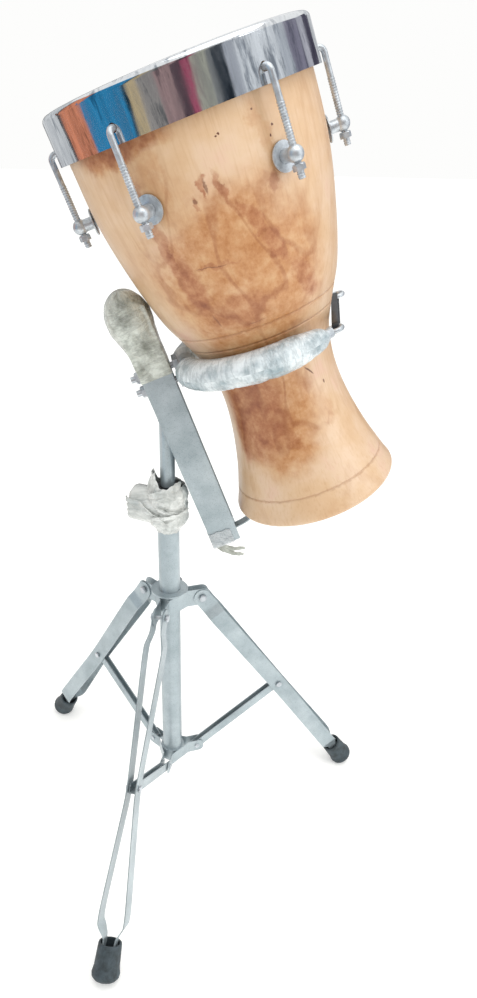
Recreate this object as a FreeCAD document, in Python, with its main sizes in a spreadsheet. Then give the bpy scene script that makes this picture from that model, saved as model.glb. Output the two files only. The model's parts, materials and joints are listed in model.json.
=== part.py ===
"""A goblet hand drum, tuned by six hook rods, in a padded cradle on a folding tripod stand.

Millimetres, +Z up. The origin is on the floor, on the axis of the tripod's tube, and the
drum leans towards +X. Everything held by the cradle is drawn in the drum's own frame,
whose +Z runs up the drum's axis from the centre of the hoop's top.
"""
import FreeCAD, Part
import math
import os
import Sketcher

V = FreeCAD.Vector
X_AXIS, Y_AXIS, Z_AXIS = V(1, 0, 0), V(0, 1, 0), V(0, 0, 1)

SIZES = [
    # stand tubes
    ("tube_outer", 28.6, "base tube, outside diameter"),
    ("mast_outer", 19.0, "mast tube, outside diameter"),
    ("tube_wall", 1.5, "wall of both tubes"),
    ("tube_foot", 112.0, "height of the base tube's lower end"),
    ("tube_top", 546.0, "height of the base tube's upper end"),
    ("mast_foot", 330.0, "height of the mast's lower end, inside the base tube"),
    # tripod
    ("first_leg", 9.7, "direction of the first leg, degrees from +X"),
    ("leg_angle", 34.1, "legs from the vertical, degrees, stand open"),
    ("leg_pivot_radius", 44.5, "leg pivots from the tube's axis"),
    ("leg_pivot_height", 377.0, "height of the leg pivots, stand open"),
    ("leg_length", 448.8, "leg pivot to the end of the rubber foot"),
    ("leg_rivet", 218.6, "leg pivot to the brace rivet"),
    ("strip_width", 24.0, "leg strip, width"),
    ("strip_thick", 2.5, "leg strip, thickness"),
    ("strip_neck", 14.0, "leg strip, width inside the foot"),
    ("brace_pivot_radius", 37.0, "brace pivots from the tube's axis"),
    ("brace_pivot_height", 105.5, "height of the brace pivots"),
    ("brace_wide", 9.6, "brace channel, outside width"),
    ("brace_deep", 12.0, "brace channel, depth"),
    ("sheet_thick", 1.6, "pressed plates of the collar and the spider"),
    ("collar_top", 396.0, "height of the collar's flange, stand open"),
    ("flange_width", 50.0, "collar flange, diameter"),
    # drum
    ("drum_lean", 21.2, "drum axis from the vertical, degrees"),
    ("hoop_x", 12.0, "centre of the hoop's top, X"),
    ("hoop_height", 1012.7, "centre of the hoop's top, height"),
    ("hoop_radius", 142.3, "counter hoop, outside radius"),
    ("hoop_deep", 47.0, "counter hoop, height of the band"),
    ("hoop_wall", 2.0, "counter hoop, thickness"),
    ("shell_length", 500.0, "hoop top to the foot of the shell"),
    ("rod_count", 6, "hook rods round the drum"),
    ("rod_turn", 3.0, "direction of the first rod, degrees from the lean"),
    ("rod_thick", 6.4, "hook rod, diameter"),
    ("rod_radius", 150.0, "hook rods from the drum's axis"),
    ("rod_hole", 33.0, "hoop top to the rod holes"),
    ("lug_drop", 107.0, "hoop top to the lugs"),
    # holder
    ("channel_back", 154.5, "drum axis to the outside of the channel's web"),
    ("channel_size", 37.0, "channel, width and depth"),
    ("channel_wall", 2.5, "channel, wall"),
    ("channel_start", 207.0, "hoop top to the channel's upper end"),
    ("channel_end", 527.0, "hoop top to the channel's lower end"),
    ("ring_radius", 101.0, "drum axis to the middle of the cradle bar"),
    ("ring_drop", 292.0, "hoop top to the cradle bar"),
    ("ring_bar", 12.0, "cradle bar, diameter"),
    ("pad_thick", 36.0, "foam sleeve on the cradle bar, diameter"),
    ("running_gap", 0.3, "gap between pieces that slide or turn"),
]

doc = FreeCAD.newDocument("GobletDrumOnStand")
sheet = doc.addObject("Spreadsheet::Sheet", "Sizes")
for row, (alias, value, meaning) in enumerate(SIZES, start=1):
    sheet.set(f"A{row}", meaning)
    sheet.set(f"B{row}", str(value))
    sheet.setAlias(f"B{row}", alias)
doc.recompute()


def size(alias):
    """The value of one driving dimension."""
    return float(getattr(sheet, alias))


def cell(formula):
    """A formula whose words are aliases, as an expression on the sheet."""
    words = [f"Sizes.{word}" if word in ALIASES else word for word in formula.split()]
    return " ".join(words)


ALIASES = {alias for alias, _, _ in SIZES}
parts = {}

# ---------------------------------------------------------------- frames
LEG_NAMES = ["right", "left", "front"]
leg_directions = [size("first_leg") + 120 * turn for turn in range(3)]

leg_slope = math.radians(size("leg_angle"))
rivet_radius = size("leg_pivot_radius") + size("leg_rivet") * math.sin(leg_slope)
rivet_height = size("leg_pivot_height") - size("leg_rivet") * math.cos(leg_slope)
brace_run = rivet_radius - size("brace_pivot_radius")
brace_rise = rivet_height - size("brace_pivot_height")
brace_length = math.hypot(brace_run, brace_rise)
brace_climb = math.degrees(math.atan2(brace_rise, brace_run))

drum_frame = FreeCAD.Placement(V(size("hoop_x"), 0, size("hoop_height")),
                               FreeCAD.Rotation(Y_AXIS, -size("drum_lean")))


def around(direction):
    """A turn about the upright axis, in degrees."""
    return FreeCAD.Placement(V(), FreeCAD.Rotation(Z_AXIS, direction))


def leg_frame(direction):
    """+X runs down the leg from its pivot, +Z across the face of its strips."""
    pivot = V(size("leg_pivot_radius"), 0, size("leg_pivot_height"))
    slope = FreeCAD.Rotation(Y_AXIS, 90 - size("leg_angle"))
    return around(direction) * FreeCAD.Placement(pivot, slope)


def brace_frame(direction):
    """+X runs up the brace from its pivot on the spider, +Z out of its open side."""
    pivot = V(size("brace_pivot_radius"), 0, size("brace_pivot_height"))
    slope = FreeCAD.Rotation(Y_AXIS, -brace_climb)
    return around(direction) * FreeCAD.Placement(pivot, slope)


def rod_turns():
    """The turns from the lean to each hook rod, about the drum's own axis."""
    count = int(size("rod_count"))
    return [around(-(size("rod_turn") + index * 360 / count)) for index in range(count)]


# ---------------------------------------------------------------- building helpers
def drilled(name, body, drills, place=None):
    """A body with a group of round holes cut through it, kept under the body's name."""
    tool = doc.addObject("Part::Feature", name + "_drills")
    tool.Shape = group(drills)
    cut = doc.addObject("Part::Cut", name + "_drilled")
    cut.Base = body
    cut.Tool = tool
    return keep(name, cut, place)


def keep(name, obj, place=None):
    """Give a sub-part its node name and its place."""
    obj.Label = name
    if place is not None:
        obj.Placement = place
    parts[name] = obj
    return obj


def feature(name, shape, place=None):
    """A sub-part whose shape is set with Part's own functions."""
    obj = doc.addObject("Part::Feature", name)
    obj.Shape = shape
    return keep(name, obj, None if place is None else place * shape.Placement)


def cylinder(name, radius, height, base=V(), axis=Z_AXIS):
    """A Part cylinder whose radius and height follow the sheet."""
    obj = doc.addObject("Part::Cylinder", name)
    obj.setExpression("Radius", cell(radius))
    obj.setExpression("Height", cell(height))
    obj.Placement = FreeCAD.Placement(base, FreeCAD.Rotation(Z_AXIS, axis))
    return obj


def tube(name, radius, bore, height, base):
    """A straight tube, as one cylinder cut from another."""
    obj = doc.addObject("Part::Cut", name)
    obj.Base = cylinder(name + "_outside", radius, height, base)
    obj.Tool = cylinder(name + "_inside", bore, height, base)
    return obj


def new_body(name, plane):
    """A PartDesign body and its first sketch, on one of its origin planes."""
    body = doc.addObject("PartDesign::Body", name)
    sketch = body.newObject("Sketcher::SketchObject", name + "_outline")
    role = [o for o in body.Origin.OriginFeatures if o.Role == plane][0]
    sketch.AttachmentSupport = [(role, "")]
    sketch.MapMode = "FlatFace"
    return body, sketch


def draw_loop(sketch, points):
    """Straight edges round a closed outline, joined end to end."""
    corners = [V(x, y, 0) for x, y in points]
    count = len(corners)
    for i, start in enumerate(corners):
        sketch.addGeometry(Part.LineSegment(start, corners[(i + 1) % count]))
    for i in range(count):
        sketch.addConstraint(Sketcher.Constraint("Coincident", i, 2, (i + 1) % count, 1))


def revolve(body, sketch, axis):
    """Turn the sketch right round one of its own axes."""
    turned = body.newObject("PartDesign::Revolution", body.Name + "_turned")
    turned.Profile = sketch
    turned.ReferenceAxis = (sketch, [axis])
    turned.Angle = 360
    return turned


def pad(body, sketch, length, both_ways=False):
    """Raise the sketch by a length from the sheet."""
    raised = body.newObject("PartDesign::Pad", body.Name + "_pad")
    raised.Profile = sketch
    raised.setExpression("Length", cell(length))
    if both_ways:
        raised.Midplane = True
    return raised


def band(points, thickness):
    """A flat face of even thickness along an open line of points in the XY plane."""
    line = Part.makePolygon([V(x, y, 0) for x, y in points])
    return line.makeOffset2D(thickness / 2, 0, True, True)


def smoothed(points, steps=6, reach=0.45):
    """Round the inner corners of an open line with short curves."""
    rounded = [points[0]]
    for before, corner, after in zip(points, points[1:], points[2:]):
        start = [c + (b - c) * reach for b, c in zip(before, corner)]
        end = [c + (a - c) * reach for a, c in zip(after, corner)]
        for step in range(steps + 1):
            share = step / steps
            keep_start, keep_corner, keep_end = (1 - share) ** 2, 2 * share * (1 - share), share ** 2
            rounded.append([keep_start * s + keep_corner * c + keep_end * e
                            for s, c, e in zip(start, corner, end)])
    rounded.append(points[-1])
    return rounded


def rod(wire_edges, diameter, direction):
    """A round bar along a smooth line."""
    path = Part.Wire(wire_edges)
    start = path.Edges[0].Vertexes[0].Point
    section = Part.Wire([Part.makeCircle(diameter / 2, start, direction)])
    return path.makePipeShell([section], True, True)


def hexagon(across_flats, height, bore):
    """A hexagon nut, centred, standing on the XY plane."""
    corner = across_flats / math.sqrt(3)
    points = [V(corner * math.cos(math.radians(a)), corner * math.sin(math.radians(a)), 0)
              for a in range(0, 361, 60)]
    nut = Part.Face(Part.makePolygon(points)).extrude(V(0, 0, height))
    cone = Part.makeCone(corner * 1.03, corner * 0.86, height * 0.3, V(0, 0, height * 0.7))
    nut = nut.common(Part.makeCylinder(corner * 1.03, height * 0.7).fuse(cone))
    return nut.cut(Part.makeCylinder(bore / 2, height))


def group(shapes):
    """Separate solids kept in one node."""
    return Part.makeCompound([solid for shape in shapes for solid in shape.Solids])


def placed(shape, place):
    """A moved copy of a shape."""
    moved = shape.copy()
    moved.Placement = place * moved.Placement
    return moved


# ---------------------------------------------------------------- stand: tubes
CLAMP_LOW, CLAMP_HIGH = 496.0, 546.0
CLAMP_OUTER, CLAMP_RIM = 19.5, 21.5
CLAMP_BOLT_HEIGHT, CLAMP_BOLT_SIDE = 518.0, 150.0
COLLAR_BOLT_SIDE, COLLAR_BOLT_BELOW_TOP = 69.7, 13.0
BOLT_SHANK, BOLT_HOLE, WING_HUB_START = 4.0, 4.3, 31.0


def build_base_tube():
    bore = "tube_outer / 2 - tube_wall"
    walls = tube("base_tube_walls", "tube_outer / 2", bore, "tube_top - tube_foot",
                 V(0, 0, size("tube_foot")))
    hole = doc.addObject("Part::Cut", "base_tube")
    hole.Base = walls
    side = V(math.cos(math.radians(CLAMP_BOLT_SIDE)), math.sin(math.radians(CLAMP_BOLT_SIDE)), 0)
    hole.Tool = cylinder("clamp_bolt_hole", "tube_outer * 0.16", "tube_outer",
                         V(0, 0, CLAMP_BOLT_HEIGHT), side)
    keep("base_tube", hole)


def build_mast():
    """The mast's top is cut to the slope of the channel's web, to which it is welded."""
    height = size("hoop_height") - size("mast_foot")
    whole = tube("mast_walls", "mast_outer / 2", "mast_outer / 2 - tube_wall",
                 "hoop_height - mast_foot", V(0, 0, size("mast_foot")))
    above = doc.addObject("Part::Box", "mast_above_web")
    above.Length = height
    above.Width = height
    above.Height = 2 * height
    above.Placement = drum_frame * FreeCAD.Placement(
        V(-size("channel_back"), -height / 2, -1.5 * height), FreeCAD.Rotation())
    mast = doc.addObject("Part::Cut", "mast_tube")
    mast.Base = whole
    mast.Tool = above
    keep("mast_tube", mast)


def build_mast_bush():
    """A flanged plastic bush that guides the mast in the base tube."""
    body, sketch = new_body("mast_bush", "XZ_Plane")
    inner = size("mast_outer") / 2 + size("running_gap")
    outer = size("tube_outer") / 2 - size("tube_wall") - 0.2
    top = CLAMP_HIGH + size("running_gap")
    flange, neck = 18.5, 15.0
    draw_loop(sketch, [(inner, CLAMP_LOW), (outer, CLAMP_LOW), (outer, top), (flange, top),
                       (flange, top + 3), (neck, top + 5), (inner, top + 5)])
    revolve(body, sketch, "V_Axis")
    keep("mast_bush", body)


def side_frame(direction, height):
    """+Z points straight out of the tube at one side, at one height."""
    return around(direction) * FreeCAD.Placement(V(0, 0, height), FreeCAD.Rotation(Y_AXIS, 90))


def build_height_clamp():
    """A cast clamp pressed on the tube, with a threaded boss for the wing bolt."""
    place = side_frame(CLAMP_BOLT_SIDE, CLAMP_BOLT_HEIGHT)
    wall = Part.makeCylinder(CLAMP_OUTER, CLAMP_HIGH - CLAMP_LOW, V(0, 0, CLAMP_LOW))
    ring = Part.makeCylinder(CLAMP_RIM, 8, V(0, 0, CLAMP_HIGH - 8))
    boss = placed(Part.makeCylinder(9, 30), place)
    bolt = placed(Part.makeCylinder(BOLT_HOLE, 40), place)
    bore = Part.makeCylinder(size("tube_outer") / 2, 100, V(0, 0, CLAMP_LOW - 20))
    feature("height_clamp", wall.fuse([ring, boss]).cut(bore.fuse(bolt)).removeSplitter())


def wing_bolt(tip, reach):
    """A bolt along +Z with a hub and two wings at its outer end."""
    span, thick, deep = 46.0, 4.5, 9.0
    shank = Part.makeCylinder(BOLT_SHANK, reach - tip, V(0, 0, tip))
    hub = Part.makeCone(7.5, 5.5, 12, V(0, 0, reach))
    wing = Part.makeBox(span, thick, deep, V(-span / 2, -thick / 2, reach + 3))
    wing = wing.makeFillet(4, [e for e in wing.Edges if abs(e.tangentAt(0).y) > 0.9
                               and e.CenterOfMass.z > reach + 5])
    return shank.fuse([hub, wing]).removeSplitter()


def build_wing_bolts():
    outside = size("tube_outer") / 2
    collar_height = size("collar_top") - COLLAR_BOLT_BELOW_TOP
    feature("height_wing_bolt", wing_bolt(outside - 1.1, WING_HUB_START),
            side_frame(CLAMP_BOLT_SIDE, CLAMP_BOLT_HEIGHT))
    feature("collar_wing_bolt", wing_bolt(outside + 0.4, WING_HUB_START),
            side_frame(COLLAR_BOLT_SIDE, collar_height))


# ---------------------------------------------------------------- stand: collar and spider
EAR_GAP = 9.5
SLEEVE_RADIUS = 17.2


def ear_plate(reach, low, high, gap):
    """One pressed plate: an ear of one clevis, a turn round the tube, an ear of the next."""
    middle = gap / 2 + size("sheet_thick") / 2
    near = 23.0
    leg_a, leg_b = around(0), around(120)
    ends = [leg_a.multVec(V(reach, middle, 0)), leg_a.multVec(V(near, middle, 0)),
            leg_b.multVec(V(near, -middle, 0)), leg_b.multVec(V(reach, -middle, 0))]
    face = band([(p.x, p.y) for p in ends], size("sheet_thick"))
    plate = face.extrude(V(0, 0, high - low))
    plate.translate(V(0, 0, low))
    corners = [e for e in plate.Edges
               if e.Length < size("sheet_thick") * 1.5 and abs(e.tangentAt(0).z) < 0.1
               and math.hypot(e.CenterOfMass.x, e.CenterOfMass.y) > reach * 0.95]
    return plate.makeFillet((high - low) * 0.4, corners)


def clevis_ring(reach, low, high, gap, pin_height, pin_radius, pin_hole):
    """Three plates round a short sleeve, with a pin hole through each pair of ears."""
    plates = [placed(ear_plate(reach, low, high, gap), around(a)) for a in leg_directions]
    sleeve = Part.makeCylinder(SLEEVE_RADIUS, high - low, V(0, 0, low))
    ring = sleeve.fuse(plates)
    for direction in leg_directions:
        hole = Part.makeCylinder(pin_hole / 2, 40, V(pin_radius, -20, pin_height), Y_AXIS)
        ring = ring.cut(placed(hole, around(direction)))
    return ring


def build_leg_collar():
    """The collar slides on the base tube and carries the three legs."""
    top, deep, flange_thick = size("collar_top"), 31.0, 2.4
    bolt_place = side_frame(COLLAR_BOLT_SIDE, top - COLLAR_BOLT_BELOW_TOP)
    ring = clevis_ring(56, top - deep, top - 6, EAR_GAP, size("leg_pivot_height"),
                       size("leg_pivot_radius"), 6.1)
    sleeve = Part.makeCylinder(SLEEVE_RADIUS, deep, V(0, 0, top - deep))
    flange = Part.makeCylinder(size("flange_width") / 2, flange_thick,
                               V(0, 0, top - flange_thick))
    boss = placed(Part.makeCylinder(8, 29), bolt_place)
    bore = Part.makeCylinder(size("tube_outer") / 2 + size("running_gap"), 60, V(0, 0, top - 50))
    thread = placed(Part.makeCylinder(BOLT_HOLE, 60), bolt_place)
    solid = ring.fuse([sleeve, flange, boss]).cut(bore.fuse(thread))
    feature("leg_collar", solid.removeSplitter())


def build_brace_spider():
    """The spider is fixed to the lower end of the base tube."""
    pin = size("brace_pivot_height")
    ring = clevis_ring(47, pin - 9.5, pin + 9.5, size("brace_wide") + 0.8, pin,
                       size("brace_pivot_radius"), 4.1)
    foot, drain_hole = size("tube_foot"), 13.0
    seat = Part.makeCylinder(size("tube_outer") / 2, 60, V(0, 0, foot))
    bore = Part.makeCylinder(drain_hole, 60, V(0, 0, foot - 30))
    feature("brace_spider", ring.cut(seat.fuse(bore)).removeSplitter())


def headed_pin(radius, length, head_radius, head_height):
    """A pin along Y with a domed head at each end."""
    shank = Part.makeCylinder(radius, length, V(0, -length / 2, 0), Y_AXIS)
    heads = []
    for way in (-1, 1):
        head = Part.makeCylinder(head_radius, head_height, V(0, way * length / 2, 0), Y_AXIS * way)
        rim = [e for e in head.Edges if abs(e.CenterOfMass.y) > length / 2 + head_height * 0.9]
        heads.append(head.makeFillet(head_height * 0.6, rim[:1]))
    return shank.fuse(heads)


def build_pins():
    strip_outside = EAR_GAP / 2 + size("sheet_thick") + 0.3 + size("strip_thick")
    pivots = [placed(headed_pin(3, 2 * strip_outside + 0.6, 5.2, 2.6),
                     around(a) * FreeCAD.Placement(
                         V(size("leg_pivot_radius"), 0, size("leg_pivot_height")),
                         FreeCAD.Rotation())) for a in leg_directions]
    feature("leg_pivot_bolts", group(pivots))
    spider_width = size("brace_wide") + 0.8 + 2 * size("sheet_thick")
    rivets = [placed(headed_pin(2, spider_width, 3.6, 1.6),
                     around(a) * FreeCAD.Placement(
                         V(size("brace_pivot_radius"), 0, size("brace_pivot_height")),
                         FreeCAD.Rotation())) for a in leg_directions]
    feature("spider_rivets", group(rivets))


# ---------------------------------------------------------------- stand: legs
def strip_line():
    """The middle of one leg strip: distance down the leg, distance to the side."""
    at_pin = EAR_GAP / 2 + size("sheet_thick") + 0.3 + size("strip_thick") / 2
    at_rivet = size("brace_wide") / 2 + 0.45 + size("strip_thick") / 2
    rivet = size("leg_rivet")
    end = size("leg_length")
    return [(-12, at_pin), (20, at_pin), (40, 13.5), (rivet - 14, at_rivet + 0.25),
            (rivet + 14, at_rivet + 0.25), (end - 68, 18.5), (end - 49, 8.0), (end - 14, 8.0)]


def build_leg_strip(name, direction, side):
    """A strip of flat steel, bent edgewise apart from its partner and narrowed into the foot."""
    width, rivet, end = size("strip_width"), size("leg_rivet"), size("leg_length")
    half, neck_half = width / 2, size("strip_neck") / 2
    shoulder, neck_start = end - 60.5, end - 47
    face = band(smoothed(strip_line(), reach=0.18), size("strip_thick"))
    strip = face.extrude(V(0, 0, width))
    strip.translate(V(0, 0, -half))
    side_line = [(0, half), (shoulder, half), (neck_start, neck_half), (end, neck_half)]
    lower = [(x, -z) for x, z in reversed(side_line)]
    corners = [V(x, -30, z) for x, z in side_line + lower + side_line[:1]]
    outline = Part.Face(Part.makePolygon(corners)).extrude(V(0, 60, 0))
    round_top = Part.makeCylinder(half, 60, V(0, -30, 0), Y_AXIS)
    strip = strip.common(outline.fuse(round_top))
    holes = [Part.makeCylinder(3.05, 60, V(0, -30, 0), Y_AXIS),
             Part.makeCylinder(2.55, 60, V(rivet, -30, 0), Y_AXIS)]
    if side > 0:
        holes.append(Part.makeCylinder(2.2, 60, V(end - 62, -30, 0), Y_AXIS))
    strip = strip.cut(holes)
    if side < 0:
        strip = strip.mirror(V(), Y_AXIS)
    feature(name, group([strip]), leg_frame(direction))


def build_brace_rivets(name, direction):
    """Two short rivets, one in each strip; the brace's end runs between them."""
    inner = size("brace_wide") / 2 + 0.45
    length = size("strip_thick") + 0.35
    rivets = []
    for way in (-1, 1):
        shank = Part.makeCylinder(2.5, length, V(size("leg_rivet"), way * inner, 0), Y_AXIS * way)
        head = Part.makeCylinder(4.4, 1.8, V(size("leg_rivet"), way * (inner + length), 0),
                                 Y_AXIS * way)
        rim = [e for e in head.Edges if abs(e.CenterOfMass.y) > inner + length + 1.7]
        rivets.append(shank.fuse(head.makeFillet(1.2, rim[:1])))
    feature(name, group(rivets), leg_frame(direction))


def build_foot(name, direction):
    """A flared rubber ferrule over the ends of both strips, pressed flat where it stands."""
    body, sketch = new_body(name, "XY_Plane")
    end = size("leg_length")
    draw_loop(sketch, [(end - 44, 12.2), (end - 44, 14.4), (end - 42, 15.0), (end - 17, 16.2),
                       (end - 12, 17.2), (end - 9, 17.9), (end - 5, 17.2), (end - 2, 14.5),
                       (end, 10.0), (end, 0), (end - 13.4, 0), (end - 13.4, 12.2)])
    revolve(body, sketch, "H_Axis")
    body.Placement = leg_frame(direction)
    floor = doc.addObject("Part::Box", name + "_floor")
    floor.Length = 1000
    floor.Width = 1000
    floor.Height = 50
    floor.Placement = FreeCAD.Placement(V(-500, -500, -50), FreeCAD.Rotation())
    sole = doc.addObject("Part::Cut", name + "_pressed_flat")
    sole.Base = body
    sole.Tool = floor
    keep(name, sole)


def build_brace(name, direction):
    """A folded channel, open upwards, that ties a leg to the spider."""
    wide, deep = size("brace_wide") / 2, size("brace_deep") / 2
    wall = 1.4
    body, sketch = new_body(name, "YZ_Plane")
    draw_loop(sketch, [(-wide, -deep), (wide, -deep), (wide, deep), (wide - wall, deep),
                       (wide - wall, -deep + wall), (-wide + wall, -deep + wall),
                       (-wide + wall, deep), (-wide, deep)])
    channel = pad(body, sketch, "leg_rivet")
    channel.setExpression("Length", f"{brace_length + 2 * deep} mm")
    hole_sketch = body.newObject("Sketcher::SketchObject", name + "_holes")
    side_plane = [o for o in body.Origin.OriginFeatures if o.Role == "XZ_Plane"][0]
    hole_sketch.AttachmentSupport = [(side_plane, "")]
    hole_sketch.MapMode = "FlatFace"
    for along in (deep, brace_length + deep):
        hole_sketch.addGeometry(Part.Circle(V(along, 0, 0), Z_AXIS, 2.1))
    holes = body.newObject("PartDesign::Pocket", name + "_drilled")
    holes.Profile = hole_sketch
    holes.Type = 1
    holes.Midplane = True
    keep(name, body, brace_frame(direction) * FreeCAD.Placement(V(-deep, 0, 0), FreeCAD.Rotation()))


# ---------------------------------------------------------------- drum
STUD, STUD_HOLE = 3.9, 4.1
HOOK_HOLE = 4.2
HOOP_BORE, HOOP_BEND = 128.0, 6.0
FLESH_HOOP, FLESH_GAP = 5.2, 0.7
LUG_DOME, LUG_NECK = 8.2, 6.5
LUG_SEAT, INNER_SEAT = 133.4, 116.2
TUNING_NUT_HIGH = 6.0


def shell_outline(sketch):
    """Outside and inside of the goblet, as two smooth curves closed at the rim and the foot."""
    end = -size("shell_length")
    outside = [(130.5, -6), (132.6, -20), (133.0, -60), (131.0, -112), (121.4, -172),
               (106.0, -232), (90.0, -268), (77.0, -300), (71.5, -338), (74.0, -380),
               (84.0, -430), (97.5, -474), (104.0, end + 9)]
    inside = [(118.5, -6), (120.5, -60), (118.0, -112), (107.5, -172), (90.0, -226),
              (66.0, -276), (55.0, -320), (55.0, -360), (66.0, -418), (92.0, end)]
    out_curve, in_curve = Part.BSplineCurve(), Part.BSplineCurve()
    out_curve.interpolate([V(x, y, 0) for x, y in outside])
    in_curve.interpolate([V(x, y, 0) for x, y in inside])
    rim = Part.Arc(V(118.5, -6, 0), V(125.5, -4.6, 0), V(130.5, -6, 0))
    corner = Part.Arc(V(104.0, end + 9, 0), V(102.6, end + 2.6, 0), V(96.0, end, 0))
    foot = Part.LineSegment(V(96.0, end, 0), V(92.0, end, 0))
    for edge in (out_curve, in_curve, rim, corner, foot):
        sketch.addGeometry(edge)


def build_drum_shell():
    body, sketch = new_body("drum_shell", "XZ_Plane")
    shell_outline(sketch)
    revolve(body, sketch, "V_Axis")
    drill = Part.makeCylinder(STUD_HOLE, 60, V(90, 0, -size("lug_drop")), X_AXIS)
    drilled("drum_shell", body, [placed(drill, turn) for turn in rod_turns()], drum_frame)


def build_drum_head():
    """The skin: flat over the bearing edge, then down outside the shell to the flesh hoop."""
    body, sketch = new_body("drum_head", "XZ_Plane")
    draw_loop(sketch, [(0, -3.0), (129.5, -3.0), (132.6, -4.2), (134.0, -7.0), (134.2, -26.0),
                       (133.3, -26.0), (133.0, -8.0), (131.6, -5.2), (129.0, -4.2), (0, -4.2)])
    revolve(body, sketch, "V_Axis")
    keep("drum_head", body, drum_frame)


def build_flesh_hoop():
    torus = doc.addObject("Part::Torus", "flesh_hoop")
    inset = FLESH_GAP + FLESH_HOOP / 2
    torus.setExpression("Radius1", cell(f"hoop_radius - hoop_wall - {inset}"))
    torus.Radius2 = FLESH_HOOP / 2
    place = FreeCAD.Placement(V(0, 0, -15), FreeCAD.Rotation())
    keep("flesh_hoop", torus, drum_frame * place)


def build_counter_hoop():
    """A rolled steel band with a rounded shoulder and a flange that presses on the flesh hoop."""
    outer, wall, deep = size("hoop_radius"), size("hoop_wall"), size("hoop_deep")
    bend = HOOP_BEND
    mid = bend * (1 - math.sqrt(0.5))
    inner_mid = wall + (bend - wall) * (1 - math.sqrt(0.5))
    edges = [
        Part.LineSegment(V(outer, -deep, 0), V(outer, -bend, 0)),
        Part.Arc(V(outer, -bend, 0), V(outer - mid, -mid, 0), V(outer - bend, 0, 0)),
        Part.LineSegment(V(outer - bend, 0, 0), V(HOOP_BORE, 0, 0)),
        Part.LineSegment(V(HOOP_BORE, 0, 0), V(HOOP_BORE, -wall, 0)),
        Part.LineSegment(V(HOOP_BORE, -wall, 0), V(outer - bend, -wall, 0)),
        Part.Arc(V(outer - bend, -wall, 0), V(outer - inner_mid, -inner_mid, 0),
                 V(outer - wall, -bend, 0)),
        Part.LineSegment(V(outer - wall, -bend, 0), V(outer - wall, -deep, 0)),
        Part.LineSegment(V(outer - wall, -deep, 0), V(outer, -deep, 0)),
    ]
    body, sketch = new_body("counter_hoop", "XZ_Plane")
    for edge in edges:
        sketch.addGeometry(edge)
    revolve(body, sketch, "V_Axis")
    drill = Part.makeCylinder(HOOK_HOLE, 30, V(HOOP_BORE - 3, 0, -size("rod_hole")), X_AXIS)
    drilled("counter_hoop", body, [placed(drill, turn) for turn in rod_turns()], drum_frame)


def hook_rod():
    """A rod hooked into the hoop from outside, then straight down through its lug."""
    bend, below_lug = 6.0, 22.0
    far, hole = size("rod_radius"), -size("rod_hole")
    inner = size("hoop_radius") - size("hoop_wall") - size("rod_thick") / 2
    points = [V(inner, 0, hole), V(far - bend, 0, hole), V(far, 0, hole - bend),
              V(far, 0, -size("lug_drop") - below_lug)]
    mid = V(far - bend * (1 - math.sqrt(0.5)), 0, hole - bend * (1 - math.sqrt(0.5)))
    edges = [Part.LineSegment(points[0], points[1]).toShape(),
             Part.Arc(points[1], mid, points[2]).toShape(),
             Part.LineSegment(points[2], points[3]).toShape()]
    return rod(edges, size("rod_thick"), X_AXIS)


def lug_post():
    """A domed post with a cross hole for the rod and a stud through the shell."""
    drop = -size("lug_drop")
    far = size("rod_radius")
    neck_start, stud_start = 135.0, 108.5
    neck = Part.makeCylinder(LUG_NECK, far - neck_start, V(neck_start, 0, drop), X_AXIS)
    dome = Part.makeSphere(LUG_DOME, V(far, 0, drop))
    stud = Part.makeCylinder(STUD, neck_start + 0.5 - stud_start, V(stud_start, 0, drop), X_AXIS)
    hole = Part.makeCylinder(size("rod_thick") / 2 + size("running_gap"), 40,
                             V(far, 0, drop - 20))
    return neck.fuse([dome, stud]).cut(hole).removeSplitter()


def flat_washer(outer, thick, radius):
    """A washer lying against the shell, its axis straight out of the drum."""
    base = V(radius, 0, -size("lug_drop"))
    disc = Part.makeCylinder(outer, thick, base, X_AXIS)
    return disc.cut(Part.makeCylinder(STUD + 0.3, thick, base, X_AXIS))


def build_tuning_gear():
    """Six rods, lugs and their fasteners; each tuning nut is a piece of its own."""
    spots = [drum_frame * turn for turn in rod_turns()]
    inner_nut = hexagon(13, 6, 2 * STUD_HOLE)
    inner_nut.Placement = FreeCAD.Placement(V(INNER_SEAT - 6.2, 0, -size("lug_drop")),
                                            FreeCAD.Rotation(Y_AXIS, 90))
    kinds = {
        "hook_rods": hook_rod(),
        "lug_posts": lug_post(),
        "lug_washers": flat_washer(14, 1.4, LUG_SEAT),
        "lug_inner_washers": flat_washer(9, 1.4, INNER_SEAT),
        "lug_inner_nuts": inner_nut,
    }
    for name, shape in kinds.items():
        feature(name, group([placed(shape, spot) for spot in spots]))
    nut = hexagon(11, TUNING_NUT_HIGH, size("rod_thick") + 0.5)
    under = V(size("rod_radius"), 0, -size("lug_drop") - LUG_DOME - 0.4 - TUNING_NUT_HIGH)
    for index, spot in enumerate(spots, start=1):
        feature(f"tuning_nut_{index}", nut, spot * FreeCAD.Placement(under, FreeCAD.Rotation()))


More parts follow.
